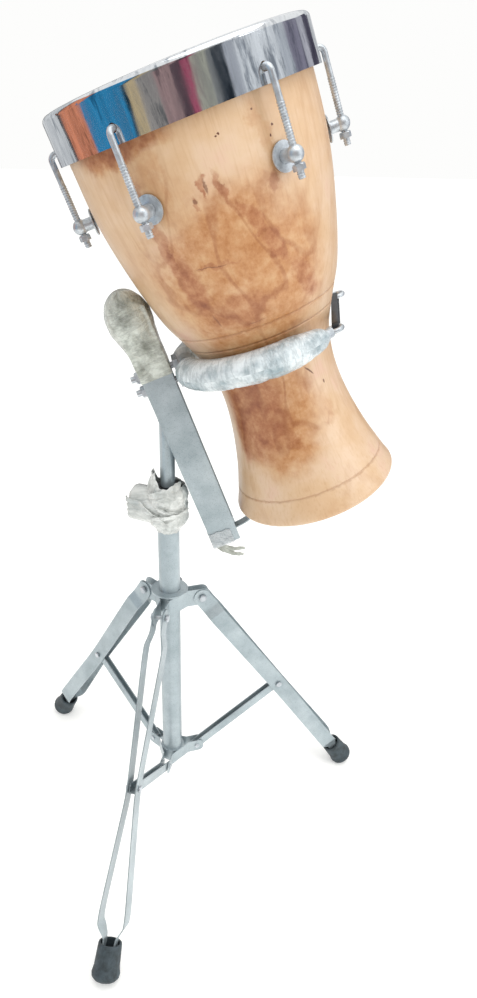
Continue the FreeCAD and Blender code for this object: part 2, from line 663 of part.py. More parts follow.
# ---------------------------------------------------------------- holder
def build_channel():
    """A folded channel, open towards the drum, that carries the cradle and the foot hook."""
    back, wide, wall = -size("channel_back"), size("channel_size"), size("channel_wall")
    front, half = back + wide, wide / 2
    running_gap = size("running_gap")
    body, sketch = new_body("holder_channel", "XY_Plane")
    draw_loop(sketch, [(back, -half), (front, -half), (front, -half + wall),
                       (back + wall, -half + wall), (back + wall, half - wall),
                       (front, half - wall), (front, half), (back, half)])
    pad(body, sketch, "channel_end - channel_start")
    place = FreeCAD.Placement(V(0, 0, -size("channel_end")), FreeCAD.Rotation())
    holes = [Part.makeCylinder(CRADLE_BOLT + running_gap, 30,
                               V(back - 10, 0, size("channel_end") - drop), X_AXIS)
             for drop in cradle_bolt_drops()]
    drilled("holder_channel", body, holes, drum_frame * place)


def cradle_bolt_drops():
    """How far down the two cradle bolts sit."""
    return [size("ring_drop") - 9, size("ring_drop") + 9]


FRONT_END, BACK_END = math.radians(-52), math.radians(57)
TAIL, EYE_RADIUS, EYE_WIRE = 52.0, 8.0, 2.8
CRADLE_BOLT = 3.9


def ring_point(angle, radius, drop):
    return V(radius * math.cos(angle), radius * math.sin(angle), -drop)


def ring_arc(start, end, radius, drop):
    """Part of a circle round the drum's axis, from one angle to another."""
    return Part.Arc(ring_point(start, radius, drop), ring_point((start + end) / 2, radius, drop),
                    ring_point(end, radius, drop)).toShape()


def build_cradle():
    """A bent bar round the drum's waist, welded to a plate with two bolts through the web."""
    radius, drop, bar = size("ring_radius"), size("ring_drop"), size("ring_bar")
    start, end = FRONT_END, BACK_END - 2 * math.pi
    tail_way = V(math.sin(BACK_END), -math.cos(BACK_END), 0)
    tail_start = ring_point(BACK_END, radius, drop)
    tail_end = tail_start + tail_way * TAIL
    edges = [ring_arc(start, end, radius, drop),
             Part.LineSegment(tail_start, tail_end).toShape()]
    start_way = V(math.sin(start), -math.cos(start), 0)
    bent = rod(edges, bar, start_way)
    eyes = [eye(tail_end + tail_way * EYE_RADIUS),
            eye(ring_point(start, radius, drop) - start_way * EYE_RADIUS)]
    plate = Part.makeBox(6, 26, 34, V(-radius - bar / 2 - 5.5, -13, -drop - 17))
    bolts = [Part.makeCylinder(CRADLE_BOLT, size("channel_back") - radius + 8,
                               V(-size("channel_back") - 12, 0, -bolt), X_AXIS)
             for bolt in cradle_bolt_drops()]
    feature("cradle_ring", bent.fuse(eyes + [plate] + bolts).removeSplitter(), drum_frame)
    nuts = []
    for bolt in cradle_bolt_drops():
        place = FreeCAD.Placement(V(-size("channel_back"), 0, -bolt),
                                  FreeCAD.Rotation(Y_AXIS, -90))
        nuts.append(placed(hexagon(13, 6.5, 2 * CRADLE_BOLT + 0.1), place))
    feature("cradle_nuts", group(nuts), drum_frame)


def eye(centre):
    """A small ring at the end of the cradle bar, for the strap."""
    return Part.makeTorus(EYE_RADIUS, EYE_WIRE, centre, Z_AXIS)


def foam_sleeve(start, end):
    """A foam tube on part of the cradle bar, clear of the bar."""
    radius, drop = size("ring_radius"), size("ring_drop")
    way = V(-math.sin(start), math.cos(start), 0)
    outside = rod([ring_arc(start, end, radius, drop)], size("pad_thick"), way)
    inside = rod([ring_arc(start, end, radius, drop)],
                 size("ring_bar") + 2 * size("running_gap"), way)
    return outside.cut(inside)


def build_arm_pads():
    near_plate = math.radians(167)
    feature("front_arm_pad", foam_sleeve(FRONT_END - math.radians(3), -near_plate), drum_frame)
    feature("back_arm_pad", foam_sleeve(BACK_END, near_plate), drum_frame)


def build_top_pad():
    """A foam ball pulled over the channel's upper end."""
    back, wide, start = -size("channel_back"), size("channel_size"), size("channel_start")
    middle = V(back + wide / 2 - 4, 0, -start - 12)
    half = V(27, 28, 39)
    ball = Part.makeSphere(1, V())
    stretch = FreeCAD.Matrix(half.x, 0, 0, middle.x, 0, half.y, 0, 0, 0, 0, half.z, middle.z,
                             0, 0, 0, 1)
    ball = ball.transformGeometry(stretch)
    gap = size("running_gap")
    pocket = Part.makeBox(wide + 2 * gap, wide + 2 * gap, 200,
                          V(back - gap, -wide / 2 - gap, -start - 200 + gap))
    feature("top_pad", ball.cut(pocket), drum_frame)


def build_foot_hook():
    """A flat J-shaped hook in the channel's lower end that the drum's foot stands in."""
    back, wall = -size("channel_back"), size("channel_wall")
    foot, wide, thick = -size("shell_length"), 14.0, 3.0
    line = [(back + wall + 1.5, foot + 22), (back + wall + 1.5, foot - 9), (back + 24, foot - 17),
            (-100, foot - 13), (-87, foot - 4), (-86, foot + 8)]
    face = band(smoothed(line, reach=0.3), thick)
    strip = face.extrude(V(0, 0, wide))
    strip.translate(V(0, 0, -wide / 2))
    upright = FreeCAD.Placement(V(), FreeCAD.Rotation(X_AXIS, 90))
    feature("foot_hook", placed(strip, upright), drum_frame)


def build_strap():
    """A rubber strap across the open side of the cradle, from eye to eye."""
    radius, drop = size("ring_radius"), size("ring_drop")
    front_way = V(math.sin(FRONT_END), -math.cos(FRONT_END), 0)
    back_way = V(math.sin(BACK_END), -math.cos(BACK_END), 0)
    front_eye = ring_point(FRONT_END, radius, drop) - front_way * EYE_RADIUS
    back_eye = ring_point(BACK_END, radius, drop) + back_way * (TAIL + EYE_RADIUS)
    along = (back_eye - front_eye).normalize()
    start, end = front_eye + along * EYE_RADIUS, back_eye - along * EYE_RADIUS
    length, thick, wide = (end - start).Length, 3.0, 11.0
    strap = Part.makeBox(length + 12, thick, wide, V(-6, -thick / 2, -wide / 2))
    strap = strap.makeFillet(5.2, [e for e in strap.Edges if abs(e.tangentAt(0).y) > 0.9])
    holes = [Part.makeCylinder(3.3, 6, V(x, -3, 0), Y_AXIS) for x in (0, length)]
    turn = math.degrees(math.atan2(along.y, along.x))
    place = FreeCAD.Placement(start, FreeCAD.Rotation(Z_AXIS, turn))
    feature("cradle_strap", strap.cut(holes), drum_frame * place)


def build_clamp_film():
    """The loose packing film round the height clamp, as a plain sleeve."""
    low, high = CLAMP_LOW - 6, CLAMP_HIGH + 3
    outside, thick = 24.0, 2.0
    outer = Part.makeCylinder(outside, high - low, V(0, 0, low))
    inner = Part.makeCylinder(outside - thick, high - low, V(0, 0, low))
    cut_out = placed(Part.makeCylinder(12, 60), side_frame(CLAMP_BOLT_SIDE, CLAMP_BOLT_HEIGHT))
    feature("clamp_film", outer.cut(inner.fuse(cut_out)))


# ---------------------------------------------------------------- the whole object
def build_everything():
    build_base_tube()
    build_mast()
    build_mast_bush()
    build_height_clamp()
    build_wing_bolts()
    build_leg_collar()
    build_brace_spider()
    build_pins()
    for leg, direction in zip(LEG_NAMES, leg_directions):
        build_leg_strip(f"leg_{leg}_strip_a", direction, 1)
        build_leg_strip(f"leg_{leg}_strip_b", direction, -1)
        build_brace_rivets(f"leg_{leg}_rivets", direction)
        build_foot(f"foot_{leg}", direction)
        build_brace(f"brace_{leg}", direction)
    build_drum_shell()
    build_drum_head()
    build_flesh_hoop()
    build_counter_hoop()
    build_tuning_gear()
    build_channel()
    build_cradle()
    build_arm_pads()
    build_top_pad()
    build_foot_hook()
    build_strap()
    build_clamp_film()


def check_and_export():
    """Stop on any failed object; otherwise write each sub-part to its own file."""
    failed = [o.Name for o in doc.Objects if {"Invalid", "Error"} & set(o.State)]
    if failed:
        raise SystemExit(f"failed objects: {failed}")
    os.makedirs("parts", exist_ok=True)
    for name, obj in parts.items():
        shape = obj.Shape
        if shape.isNull() or not shape.isValid() or not shape.Solids:
            raise SystemExit(f"bad shape: {name}")
        shape.exportStep(f"parts/{name}.step")
        print(f"{name}: {len(shape.Solids)} solid(s), {shape.Volume / 1000:.1f} cm3")


build_everything()
doc.recompute()
check_and_export()
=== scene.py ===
# %% [markdown]
# # A goblet drum on its folding stand
#
# One wooden drum, shaped like a goblet, leans in a padded cradle on a folding steel tripod. The hard parts
# come ready made from the frame: tubes, legs, hooks, nuts and the chromed hoop. This file gives them their
# finishes, and makes what only looks right when it is made one by one: the turned wooden shell, the skin, the
# foam pads under their clear film, the crumpled film round the clamp, the screw threads and the welds.

# %% Load the frame
import json
import math

import bmesh
import bpy
from mathutils import Matrix, Vector, noise


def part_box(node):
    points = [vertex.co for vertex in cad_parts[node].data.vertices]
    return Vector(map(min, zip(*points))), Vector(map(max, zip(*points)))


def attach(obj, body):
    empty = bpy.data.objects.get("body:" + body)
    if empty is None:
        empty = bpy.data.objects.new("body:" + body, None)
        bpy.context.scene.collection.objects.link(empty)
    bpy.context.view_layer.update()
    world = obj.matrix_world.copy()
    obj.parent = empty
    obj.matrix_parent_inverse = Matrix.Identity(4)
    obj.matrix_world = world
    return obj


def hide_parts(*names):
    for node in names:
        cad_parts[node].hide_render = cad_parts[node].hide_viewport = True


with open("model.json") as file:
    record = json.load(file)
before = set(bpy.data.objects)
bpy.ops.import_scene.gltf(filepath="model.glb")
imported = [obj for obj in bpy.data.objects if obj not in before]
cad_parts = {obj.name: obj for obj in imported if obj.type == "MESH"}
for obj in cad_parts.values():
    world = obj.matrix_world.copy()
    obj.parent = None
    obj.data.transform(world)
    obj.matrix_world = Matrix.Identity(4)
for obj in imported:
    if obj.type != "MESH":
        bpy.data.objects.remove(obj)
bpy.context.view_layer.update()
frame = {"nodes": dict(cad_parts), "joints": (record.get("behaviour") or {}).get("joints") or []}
MM = 0.001

# %% [markdown]
# ## Where things are
# The drum leans, so its pieces are easiest to describe along its own axis. The joint that lets the drum turn
# in its cradle holds both the axis and the middle of the hoop. From those two come a set of axes for the
# drum: a point is an angle round it, a radius from its axis and a drop below the hoop, in degrees and mm.

# %% The drum's own axes
joints = {joint["name"]: joint for joint in frame["joints"]}
drum_up = Vector(joints["drum_turn"]["axis"]).normalized()
drum_side = Vector((drum_up.z, 0, -drum_up.x))
drum_axes = Matrix((drum_side, drum_up.cross(drum_side), drum_up)).transposed().to_4x4()
drum_axes.translation = Vector(joints["drum_turn"]["pos_m"])
lean = math.atan2(-drum_up.x, drum_up.z)


def on_drum(angle, radius, drop):
    """A point in metres; the angle runs from the side the foot leans to, round by the front."""
    turn = math.radians(angle)
    return drum_axes @ Vector((radius * math.cos(turn) * MM, -radius * math.sin(turn) * MM, -drop * MM))


def beside(radius, drop, across):
    """A point on the channel's side of the drum, moved across the plane of the lean; all in mm."""
    return on_drum(180, radius, drop) + Vector((0, across * MM, 0))


print("the drum leans", round(math.degrees(lean), 1), "degrees")

# %% [markdown]
# ## Camera, floor and light
# The camera stands a little above the hoop and looks down at the stand, so the legs draw together towards
# the floor. The light is soft: a wide panel overhead, a smaller one from the right and a bright, even room.

# %% The camera
def add_object(name, data):
    """A new object in the scene, at the origin, that shows some data."""
    thing = bpy.data.objects.new(name, data)
    bpy.context.scene.collection.objects.link(thing)
    return thing


CAMERA_PLACE = (-0.0402, -0.8481, 0.9410)
CAMERA_TURN, CAMERA_DOWN, CAMERA_ROLL = (math.radians(angle) for angle in (8.85, 25.75, 1.61))

camera_data = bpy.data.cameras.new("camera")
camera_data.lens = 26.26
camera_data.sensor_width = 36
camera_data.clip_start = 0.01
camera = add_object("camera", camera_data)
aim = Matrix.Rotation(-CAMERA_TURN, 4, "Z") @ Matrix.Rotation(math.pi / 2 - CAMERA_DOWN, 4, "X")
camera.matrix_world = Matrix.Translation(CAMERA_PLACE) @ aim @ Matrix.Rotation(CAMERA_ROLL, 4, "Z")
bpy.context.scene.camera = camera
bpy.context.scene.view_settings.view_transform = "Standard"
print("the camera has a", round(camera_data.lens, 2), "mm lens")


# %% Colours and nodes
def linear(code):
    """An sRGB hex colour as the linear colour that Blender's sockets take."""
    parts = [int(code[start:start + 2], 16) / 255 for start in (1, 3, 5)]
    return [*(part / 12.92 if part <= 0.04045 else ((part + 0.055) / 1.055) ** 2.4 for part in parts), 1.0]


def feed(tree, node, inputs):
    """Give a node its inputs: plain values, sockets, or other nodes, which stand for their first output."""
    for key, value in inputs.items():
        if isinstance(value, bpy.types.Node):
            value = value.outputs[0]
        if isinstance(value, bpy.types.NodeSocket):
            tree.links.new(value, node.inputs[key])
        else:
            node.inputs[key].default_value = value


def add(tree, kind, inputs=(), stops=(), **settings):
    """Add a node: settings are its own properties, and stops the (place, hex colour) pairs of a ramp."""
    node = tree.nodes.new(kind)
    for name, value in settings.items():
        setattr(node, name, value)
    feed(tree, node, dict(inputs))
    for index, (place, code) in enumerate(stops):
        elements = node.color_ramp.elements
        element = elements[index] if index < 2 else elements.new(place)
        element.position = place
        element.color = linear(code)
    return node


def new_material(name, **sockets):
    """A material whose single shader starts with the values given for its sockets."""
    material = bpy.data.materials.new(name)
    material.use_nodes = True
    shader = material.node_tree.nodes["Principled BSDF"]
    for socket, value in sockets.items():
        shader.inputs[socket.replace("_", " ")].default_value = value
    return material, material.node_tree, shader


# %% Floor, room and lamps
FLOOR_REACH = 30


def make_floor():
    mesh = bpy.data.meshes.new("floor")
    corners = [(x * FLOOR_REACH, y * FLOOR_REACH, 0) for x, y in ((-1, -1), (1, -1), (1, 1), (-1, 1))]
    mesh.from_pydata(corners, [], [(0, 1, 2, 3)])
    floor = add_object("floor", mesh)
    material, tree, shader = new_material("pale_studio_floor", Roughness=0.9, Emission_Strength=0.2)
    feed(tree, shader, {"Base Color": linear("#f7f7f5"), "Emission Color": linear("#ffffff")})
    mesh.materials.append(material)


def make_room():
    world = bpy.data.worlds.new("bright_room")
    world.use_nodes = True
    tree = world.node_tree
    feed(tree, tree.nodes["Background"], {"Color": linear("#fdfdfc"), "Strength": 1.0})
    bpy.context.scene.world = world


def make_lamp(name, place, target, width, height, watts):
    data = bpy.data.lights.new(name, "AREA")
    data.shape = "RECTANGLE"
    data.size, data.size_y, data.energy = width, height, watts
    lamp = add_object(name, data)
    lamp.location = place
    lamp.rotation_euler = (Vector(target) - Vector(place)).to_track_quat("-Z", "Y").to_euler()
    lamp.visible_camera = False


make_floor()
make_room()
make_lamp("overhead_panel", (0.3, -0.6, 2.6), (0, 0, 0.6), 1.8, 1.8, 16)
make_lamp("right_panel", (1.9, -1.2, 1.3), (0, 0, 0.8), 1.0, 1.6, 16)
print("floor, room and", len(bpy.data.lights), "lamps")


# %% [markdown]
# ## Shapes made one by one
# Most of the pieces made here are one idea: rings of points, each joined to the next. A lathe turns one
# outline round the drum's axis, and a sleeve carries a ring along a path. One function skins both kinds.

# %% Skinning rings of points
def skin(name, rings, round_ring=True, round_path=False, chart=None):
    """Join equal rings into one closed mesh; chart gives ring i, point j its place on a map, in metres."""
    bm = bmesh.new()
    rows = [[bm.verts.new(point) for point in ring] for ring in rings]
    charted = bm.loops.layers.uv.new("surface_map") if chart else None
    long_way, short_way = len(rows), len(rows[0])
    for i in range(long_way if round_path else long_way - 1):
        for j in range(short_way if round_ring else short_way - 1):
            corners = [(i, j), (i + 1, j), (i + 1, j + 1), (i, j + 1)]
            face = bm.faces.new([rows[a % long_way][b % short_way] for a, b in corners])
            if chart:
                for loop, corner in zip(face.loops, corners):
                    loop[charted].uv = chart(*corner)
    if round_ring and not round_path:
        bm.faces.new(rows[0])
        bm.faces.new(rows[-1])
    bmesh.ops.remove_doubles(bm, verts=bm.verts, dist=1e-6)
    bmesh.ops.recalc_face_normals(bm, faces=bm.faces)
    for face in bm.faces:
        face.smooth = True
    mesh = bpy.data.meshes.new(name)
    bm.to_mesh(mesh)
    bm.free()
    return mesh


def lathe(name, profile, turns, wobble, chart=None, round_ring=True):
    """Turn an outline round the drum's axis; wobble(spot, radius, drop) says how far a point is moved."""
    rings = []
    for index in range(turns):
        angle = 360 * index / turns
        ring = []
        for radius, drop in profile:
            outwards, down = wobble(on_drum(angle, radius, drop), radius, drop)
            ring.append(on_drum(angle, radius + outwards, drop + down))
        rings.append(ring)
    return skin(name, rings, round_ring, round_path=True, chart=chart)


def settle(mesh, body, slot, material, *stands_for):
    """Make a mesh one piece of the model: its finish, its body and the frame nodes it stands for."""
    mesh.materials.clear()
    mesh.materials.append(material)
    piece = add_object(mesh.name, mesh)
    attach(piece, body)
    if stands_for:
        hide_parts(*stands_for)
    print(piece.name, "has", len(mesh.polygons), "faces on body", body)
    return piece


def lerp(start, end, share):
    return start + (end - start) * share


def ease(value, low, high):
    """0 below low, 1 above high and a smooth step between."""
    share = min(max((value - low) / (high - low), 0), 1)
    return share * share * (3 - 2 * share)


# %% [markdown]
# ## The turned wooden shell
# The goblet is turned and carved from one log, so the grain runs from the hoop to the foot: pale sapwood,
# with red-brown heartwood where the cut reaches the middle of the log. A lathe makes its shape in one go,
# grooves and all. Its outline is a list of a few (radius, drop) points with a smooth curve through them.

# %% The shell's outline
SHELL_OUTSIDE = ((130.5, 6), (132.6, 20), (133.0, 60), (131.0, 112), (121.4, 172), (106.0, 232), (90.0, 268),
                 (77.0, 300), (71.5, 338), (74.0, 380), (84.0, 430), (97.5, 474), (104.0, 491))
SHELL_INSIDE = ((118.5, 6), (120.5, 60), (118.0, 112), (107.5, 172), (90.0, 226), (66.0, 276), (55.0, 320),
                (55.0, 360), (66.0, 418), (92.0, 500))
FOOT_CORNER = 9
RIM = ((118.5, 6), (124.5, 4.7))
INSIDE_DROPS = range(499, 6, -7)
GROOVES = (253, 271, 466)
GROOVE_DEEP, GROOVE_WIDE = 0.9, 1.1
CHART_RADIUS = 0.12


def radius_at(outline, drop):
    """The radius at a drop, on a smooth curve through the outline's points."""
    index = max(place for place, point in enumerate(outline[:-1]) if point[1] <= drop)

    def slope(place):
        before, after = outline[max(place - 1, 0)], outline[min(place + 1, len(outline) - 1)]
        return (after[0] - before[0]) / (after[1] - before[1])

    (start, low), (end, high) = outline[index], outline[index + 1]
    span = high - low
    share = (drop - low) / span
    rest = 1 - share
    return ((1 + 2 * share) * rest * rest * start + share * rest * rest * span * slope(index)
            + share * share * (3 - 2 * share) * end - share * share * rest * span * slope(index + 1))


def shell_profile():
    """The closed outline: down the outside, round the foot, up the inside and over the rim."""
    top, bottom = SHELL_OUTSIDE[0][1], SHELL_OUTSIDE[-1][1]
    drops = [top + step * 4 for step in range(int((bottom - top) / 4) + 1)]
    drops += [groove + GROOVE_WIDE * step / 3 for groove in GROOVES for step in range(-7, 8)]
    outside = []
    for drop in sorted(drops):
        cut = sum(math.exp(-((drop - groove) / GROOVE_WIDE) ** 2) for groove in GROOVES)
        outside.append((radius_at(SHELL_OUTSIDE, drop) - GROOVE_DEEP * cut, drop))
    middle = SHELL_OUTSIDE[-1][0] - FOOT_CORNER
    corner = [(middle + FOOT_CORNER * math.cos(turn), bottom + FOOT_CORNER * math.sin(turn))
              for turn in (math.radians(step * 9) for step in range(1, 11))]
    inside = [(radius_at(SHELL_INSIDE, drop), drop) for drop in INSIDE_DROPS]
    return outside + corner + inside + [*RIM]


def make_shell(material, turns=288):
    profile = shell_profile()

    def carved(spot, radius, drop):
        return 0.35 * (noise.noise(spot * 14) - 0.8) * ease(drop, 60, 100) * ease(drop, 496, 480), 0

    def chart(i, j):
        return (2 * math.pi * i / turns * CHART_RADIUS, profile[j % len(profile)][1] * MM)

    mesh = lathe("turned_shell", profile, turns, carved, chart)
    return settle(mesh, "drum", "wood", material, "drum_shell")


print("the shell is", SHELL_OUTSIDE[-1][1] + FOOT_CORNER - SHELL_OUTSIDE[0][1], "mm tall")


# %% [markdown]
# ### Satin varnished wood
# The colour is built in layers, as it grew: pale sapwood that is yellower on one side and pinker on the
# other, wide tan clouds, streaks and flames of red heartwood, thin growth lines, a few dark knots and worm
# holes, and then the varnish, which adds a soft gloss. One tan cloud and one red streak fill the band just
# under the hoop: they are partly heartwood and partly painted shadow of the hoop. The grooves get painted
# shade. Painting it by hand on an image would fix every mark, but soft ovals on the shell's own map do the
# same with one line for each mark, and noise frays their edges.

# %% Where the marks are
# Each is (angle, drop, half width, half height in mm, slant in degrees, strength).
# Painted shadow: the tan cloud at angle 128, drop 46 and the red streak at angle 130, drop 44 make the band
# under the hoop, partly heartwood and partly the hoop's shadow.
TAN_CLOUDS_AND_HOOP_SHADOW = ((98, 204, 122, 120, 0, 1.0), (128, 46, 62, 26, 0, 0.9), (70, 150, 26, 60, 24, 0.6),
              (118, 120, 16, 90, 0, 0.55), (86, 290, 120, 30, 0, 0.45), (71, 96, 10, 70, 0, 0.5),
              (118, 360, 130, 92, 0, 1.0), (62, 372, 22, 26, 0, 0.4), (215, 200, 60, 110, 8, 0.8),
              (300, 150, 50, 110, -6, 0.7), (250, 340, 80, 80, 0, 0.8), (0, 240, 40, 70, 10, 0.5),
              (330, 400, 50, 60, 0, 0.7))
RED_STREAKS_AND_HOOP_SHADOW = ((126, 135, 7, 82, 0, 0.7), (121, 192, 15, 42, 0, 0.85), (92, 112, 5, 22, 14, 0.8),
               (99, 104, 3.5, 13, 0, 0.9), (104, 114, 3.5, 8, 20, 0.7), (83, 146, 9, 26, 26, 0.7),
               (76, 176, 12, 26, 24, 0.75), (62, 222, 14, 34, 30, 0.6), (130, 44, 66, 22, 0, 0.85),
               (104, 230, 52, 26, 0, 0.55), (106, 176, 30, 5, -8, 0.5), (70, 122, 7, 16, -16, 0.6),
               (128, 352, 84, 78, 0, 0.9), (150, 378, 30, 50, 0, 0.75), (104, 398, 30, 16, 0, 0.5),
               (230, 220, 20, 90, 8, 0.7), (306, 170, 16, 90, -6, 0.6), (255, 345, 46, 50, 0, 0.7))
KNOTS = ((98, 105, 1.6, 9.0, 0, 0.6), (104, 114, 2.4, 3.0, 30, 0.6), (66, 328, 1.8, 13.0, 52, 0.85),
         (53, 350, 3.0, 3.0, 0, 0.8), (87, 68, 1.2, 1.4, 0, 1.0), (64, 78, 1.2, 1.8, 0, 1.0),
         (66, 86, 1.0, 1.6, 0, 1.0), (88, 70, 1.0, 1.0, 0, 1.0), (71, 60, 1.2, 1.2, 0, 0.9),
         (108, 176, 20, 0.8, -8, 0.55), (118, 232, 1.6, 10, 12, 0.4), (96, 246, 18, 0.7, 4, 0.4))
print(len(TAN_CLOUDS_AND_HOOP_SHADOW), "tan clouds,", len(RED_STREAKS_AND_HOOP_SHADOW), "red streaks and", len(KNOTS), "knots")


def soft_patches(tree, chart, patches, hardness):
    """The strongest of several soft oval patches at a point of a map in metres."""
    total = 0.0
    for angle, drop, wide, tall, slant, strength in patches:
        place = add(tree, "ShaderNodeMapping", {
            "Vector": chart, "Location": (math.radians(angle) * CHART_RADIUS, drop * MM, 0),
            "Rotation": (0, 0, math.radians(slant)),
            "Scale": (wide * MM, tall * MM, 1)}, vector_type="TEXTURE")
        oval = add(tree, "ShaderNodeTexGradient", {"Vector": place}, gradient_type="SPHERICAL")
        soft = add(tree, "ShaderNodeMapRange", {"Value": oval.outputs["Fac"], "From Max": hardness,
                                                "To Max": strength}, interpolation_type="SMOOTHSTEP")
        total = add(tree, "ShaderNodeMath", {0: soft, 1: total}, operation="MAXIMUM")
    return total


def frayed_chart(tree, log, scale, push):
    """The shell's own map, pushed about by noise so that nothing on it has a clean edge."""
    flat = add(tree, "ShaderNodeUVMap", uv_map="surface_map")
    ragged = add(tree, "ShaderNodeTexNoise", {"Vector": log, "Scale": scale, "Detail": 6, "Roughness": 0.6})
    centred = add(tree, "ShaderNodeVectorMath", {0: ragged.outputs["Color"], 1: (0.5, 0.5, 0.5)},
                  operation="SUBTRACT")
    return add(tree, "ShaderNodeVectorMath", {0: centred, 1: push, 2: flat}, operation="MULTIPLY_ADD")


# %% The wood
def satin_varnished_wood():
    """Turned hardwood under satin varnish: a soft gloss over a pale, uneven brown."""
    material, tree, shader = new_material("satin_varnished_wood", Roughness=0.45, Coat_Weight=0.25,
                                          Coat_Roughness=0.25)
    local = add(tree, "ShaderNodeTexCoord")
    log = add(tree, "ShaderNodeMapping", {"Vector": local.outputs["Object"],
                                          "Location": drum_axes.translation, "Rotation": (0, -lean, 0)},
              vector_type="TEXTURE")
    fibre_run = add(tree, "ShaderNodeMapping", {"Vector": log, "Scale": (1, 1, 0.06)})
    fibres = add(tree, "ShaderNodeTexNoise", {"Vector": fibre_run, "Scale": 380, "Detail": 4,
                                              "Roughness": 0.6})
    flames = add(tree, "ShaderNodeMapping", {"Vector": log, "Scale": (1, 1, 0.3)})
    growth = add(tree, "ShaderNodeTexNoise", {"Vector": flames, "Scale": 11, "Detail": 3, "Roughness": 0.45,
                                              "Distortion": 0.5})
    rings = add(tree, "ShaderNodeMath", {0: growth, 1: 42.0}, operation="MULTIPLY")
    wave = add(tree, "ShaderNodeMath", {0: rings}, operation="SINE")
    clouds = add(tree, "ShaderNodeTexNoise", {"Vector": log, "Scale": 13, "Detail": 8, "Roughness": 0.6})
    mottle = add(tree, "ShaderNodeTexNoise", {"Vector": log, "Scale": 70, "Detail": 6, "Roughness": 0.65})
    wide_chart = frayed_chart(tree, log, 17, (0.07, 0.08, 0))
    streak_chart = frayed_chart(tree, log, 60, (0.022, 0.034, 0))
    near_chart = frayed_chart(tree, log, 150, (0.004, 0.006, 0))
    # The tan and red patches include painted shadow in the band under the hoop, as well as the wood's own
    # colour.
    tan = soft_patches(tree, wide_chart, TAN_CLOUDS_AND_HOOP_SHADOW, 0.42)
    red = soft_patches(tree, streak_chart, RED_STREAKS_AND_HOOP_SHADOW, 0.5)
    knots = soft_patches(tree, near_chart, KNOTS, 0.5)

    sap = add(tree, "ShaderNodeValToRGB", {"Fac": clouds},
              stops=((0.3, "#c39d76"), (0.46, "#ccab87"), (0.58, "#d1b496"), (0.72, "#d2ad97")))
    tanned = add(tree, "ShaderNodeValToRGB", {"Fac": mottle},
                 stops=((0.28, "#a2662f"), (0.5, "#b47a43"), (0.72, "#c3935f")))
    heart = add(tree, "ShaderNodeValToRGB", {"Fac": mottle},
                stops=((0.3, "#7f3f1d"), (0.5, "#97532b"), (0.72, "#ad6d3f")))
    broken = add(tree, "ShaderNodeMapRange", {"Value": mottle, "From Min": 0.3, "From Max": 0.66,
                                              "To Min": 1.0, "To Max": 0.6})
    tan_share = add(tree, "ShaderNodeMath", {0: tan, 1: broken}, operation="MULTIPLY")
    red_share = add(tree, "ShaderNodeMath", {0: red, 1: broken}, operation="MULTIPLY")
    warm = add(tree, "ShaderNodeMixRGB", {"Fac": tan_share, "Color1": sap, "Color2": tanned})
    hearted = add(tree, "ShaderNodeMixRGB", {"Fac": red_share, "Color1": warm, "Color2": heart})
    lines = add(tree, "ShaderNodeValToRGB", {"Fac": wave}, stops=((0.72, "#ffffff"), (0.97, "#c9a078")))
    ring_share = add(tree, "ShaderNodeMapRange", {"Value": tan_share, "To Min": 0.12, "To Max": 0.5})
    ringed = add(tree, "ShaderNodeMixRGB", {"Fac": ring_share, "Color1": hearted, "Color2": lines},
                 blend_type="MULTIPLY")
    grained = add(tree, "ShaderNodeValToRGB", {"Fac": fibres}, stops=((0.28, "#d8bd9c"), (0.5, "#ffffff")))
    fibred = add(tree, "ShaderNodeMixRGB", {"Fac": 0.28, "Color1": ringed, "Color2": grained},
                 blend_type="MULTIPLY")
    knotted = add(tree, "ShaderNodeMixRGB", {"Fac": knots, "Color1": fibred, "Color2": linear("#5e2f1a")})
    flat = add(tree, "ShaderNodeSeparateXYZ", {0: near_chart})
    # Painted shade: each groove, and about 2 mm to each side of it, is mixed towards a deep brown, most
    # strongly in the groove.
    painted_groove_shade = 0.0
    for groove in GROOVES:
        away = add(tree, "ShaderNodeMath", {0: flat.outputs["Y"], 1: groove * MM}, operation="SUBTRACT")
        near = add(tree, "ShaderNodeMath", {0: away}, operation="ABSOLUTE")
        dark = add(tree, "ShaderNodeMapRange", {"Value": near, "From Max": 2.2 * MM, "To Min": 0.38,
                                                "To Max": 0.0})
        painted_groove_shade = add(tree, "ShaderNodeMath", {0: dark, 1: painted_groove_shade}, operation="MAXIMUM")
    groove_shaded = add(tree, "ShaderNodeMixRGB", {"Fac": painted_groove_shade, "Color1": knotted,
                                             "Color2": linear("#8a5630")})
    grain = add(tree, "ShaderNodeBump", {"Height": fibres, "Strength": 0.2, "Distance": 0.15 * MM})
    feed(tree, shader, {"Base Color": groove_shaded, "Normal": grain})
    return material


make_shell(satin_varnished_wood())


# %% [markdown]
# ## Steel, rubber and skin
# Most of the stand is thin steel under pale silver paint. The hooks, lugs, washers and nuts are zinc plated,
# which goes dull and cloudy, and the hoop is chromed, which stays a mirror. These parts keep the frame's own
# meshes and only need a finish.

# %% Silver paint
def fine_relief(tree, local, scale, detail, strength, distance):
    """The small unevenness of a surface, as a normal; the distance is in mm."""
    rough = add(tree, "ShaderNodeTexNoise", {"Vector": local, "Scale": scale, "Detail": detail})
    return add(tree, "ShaderNodeBump", {"Height": rough, "Strength": strength, "Distance": distance * MM})


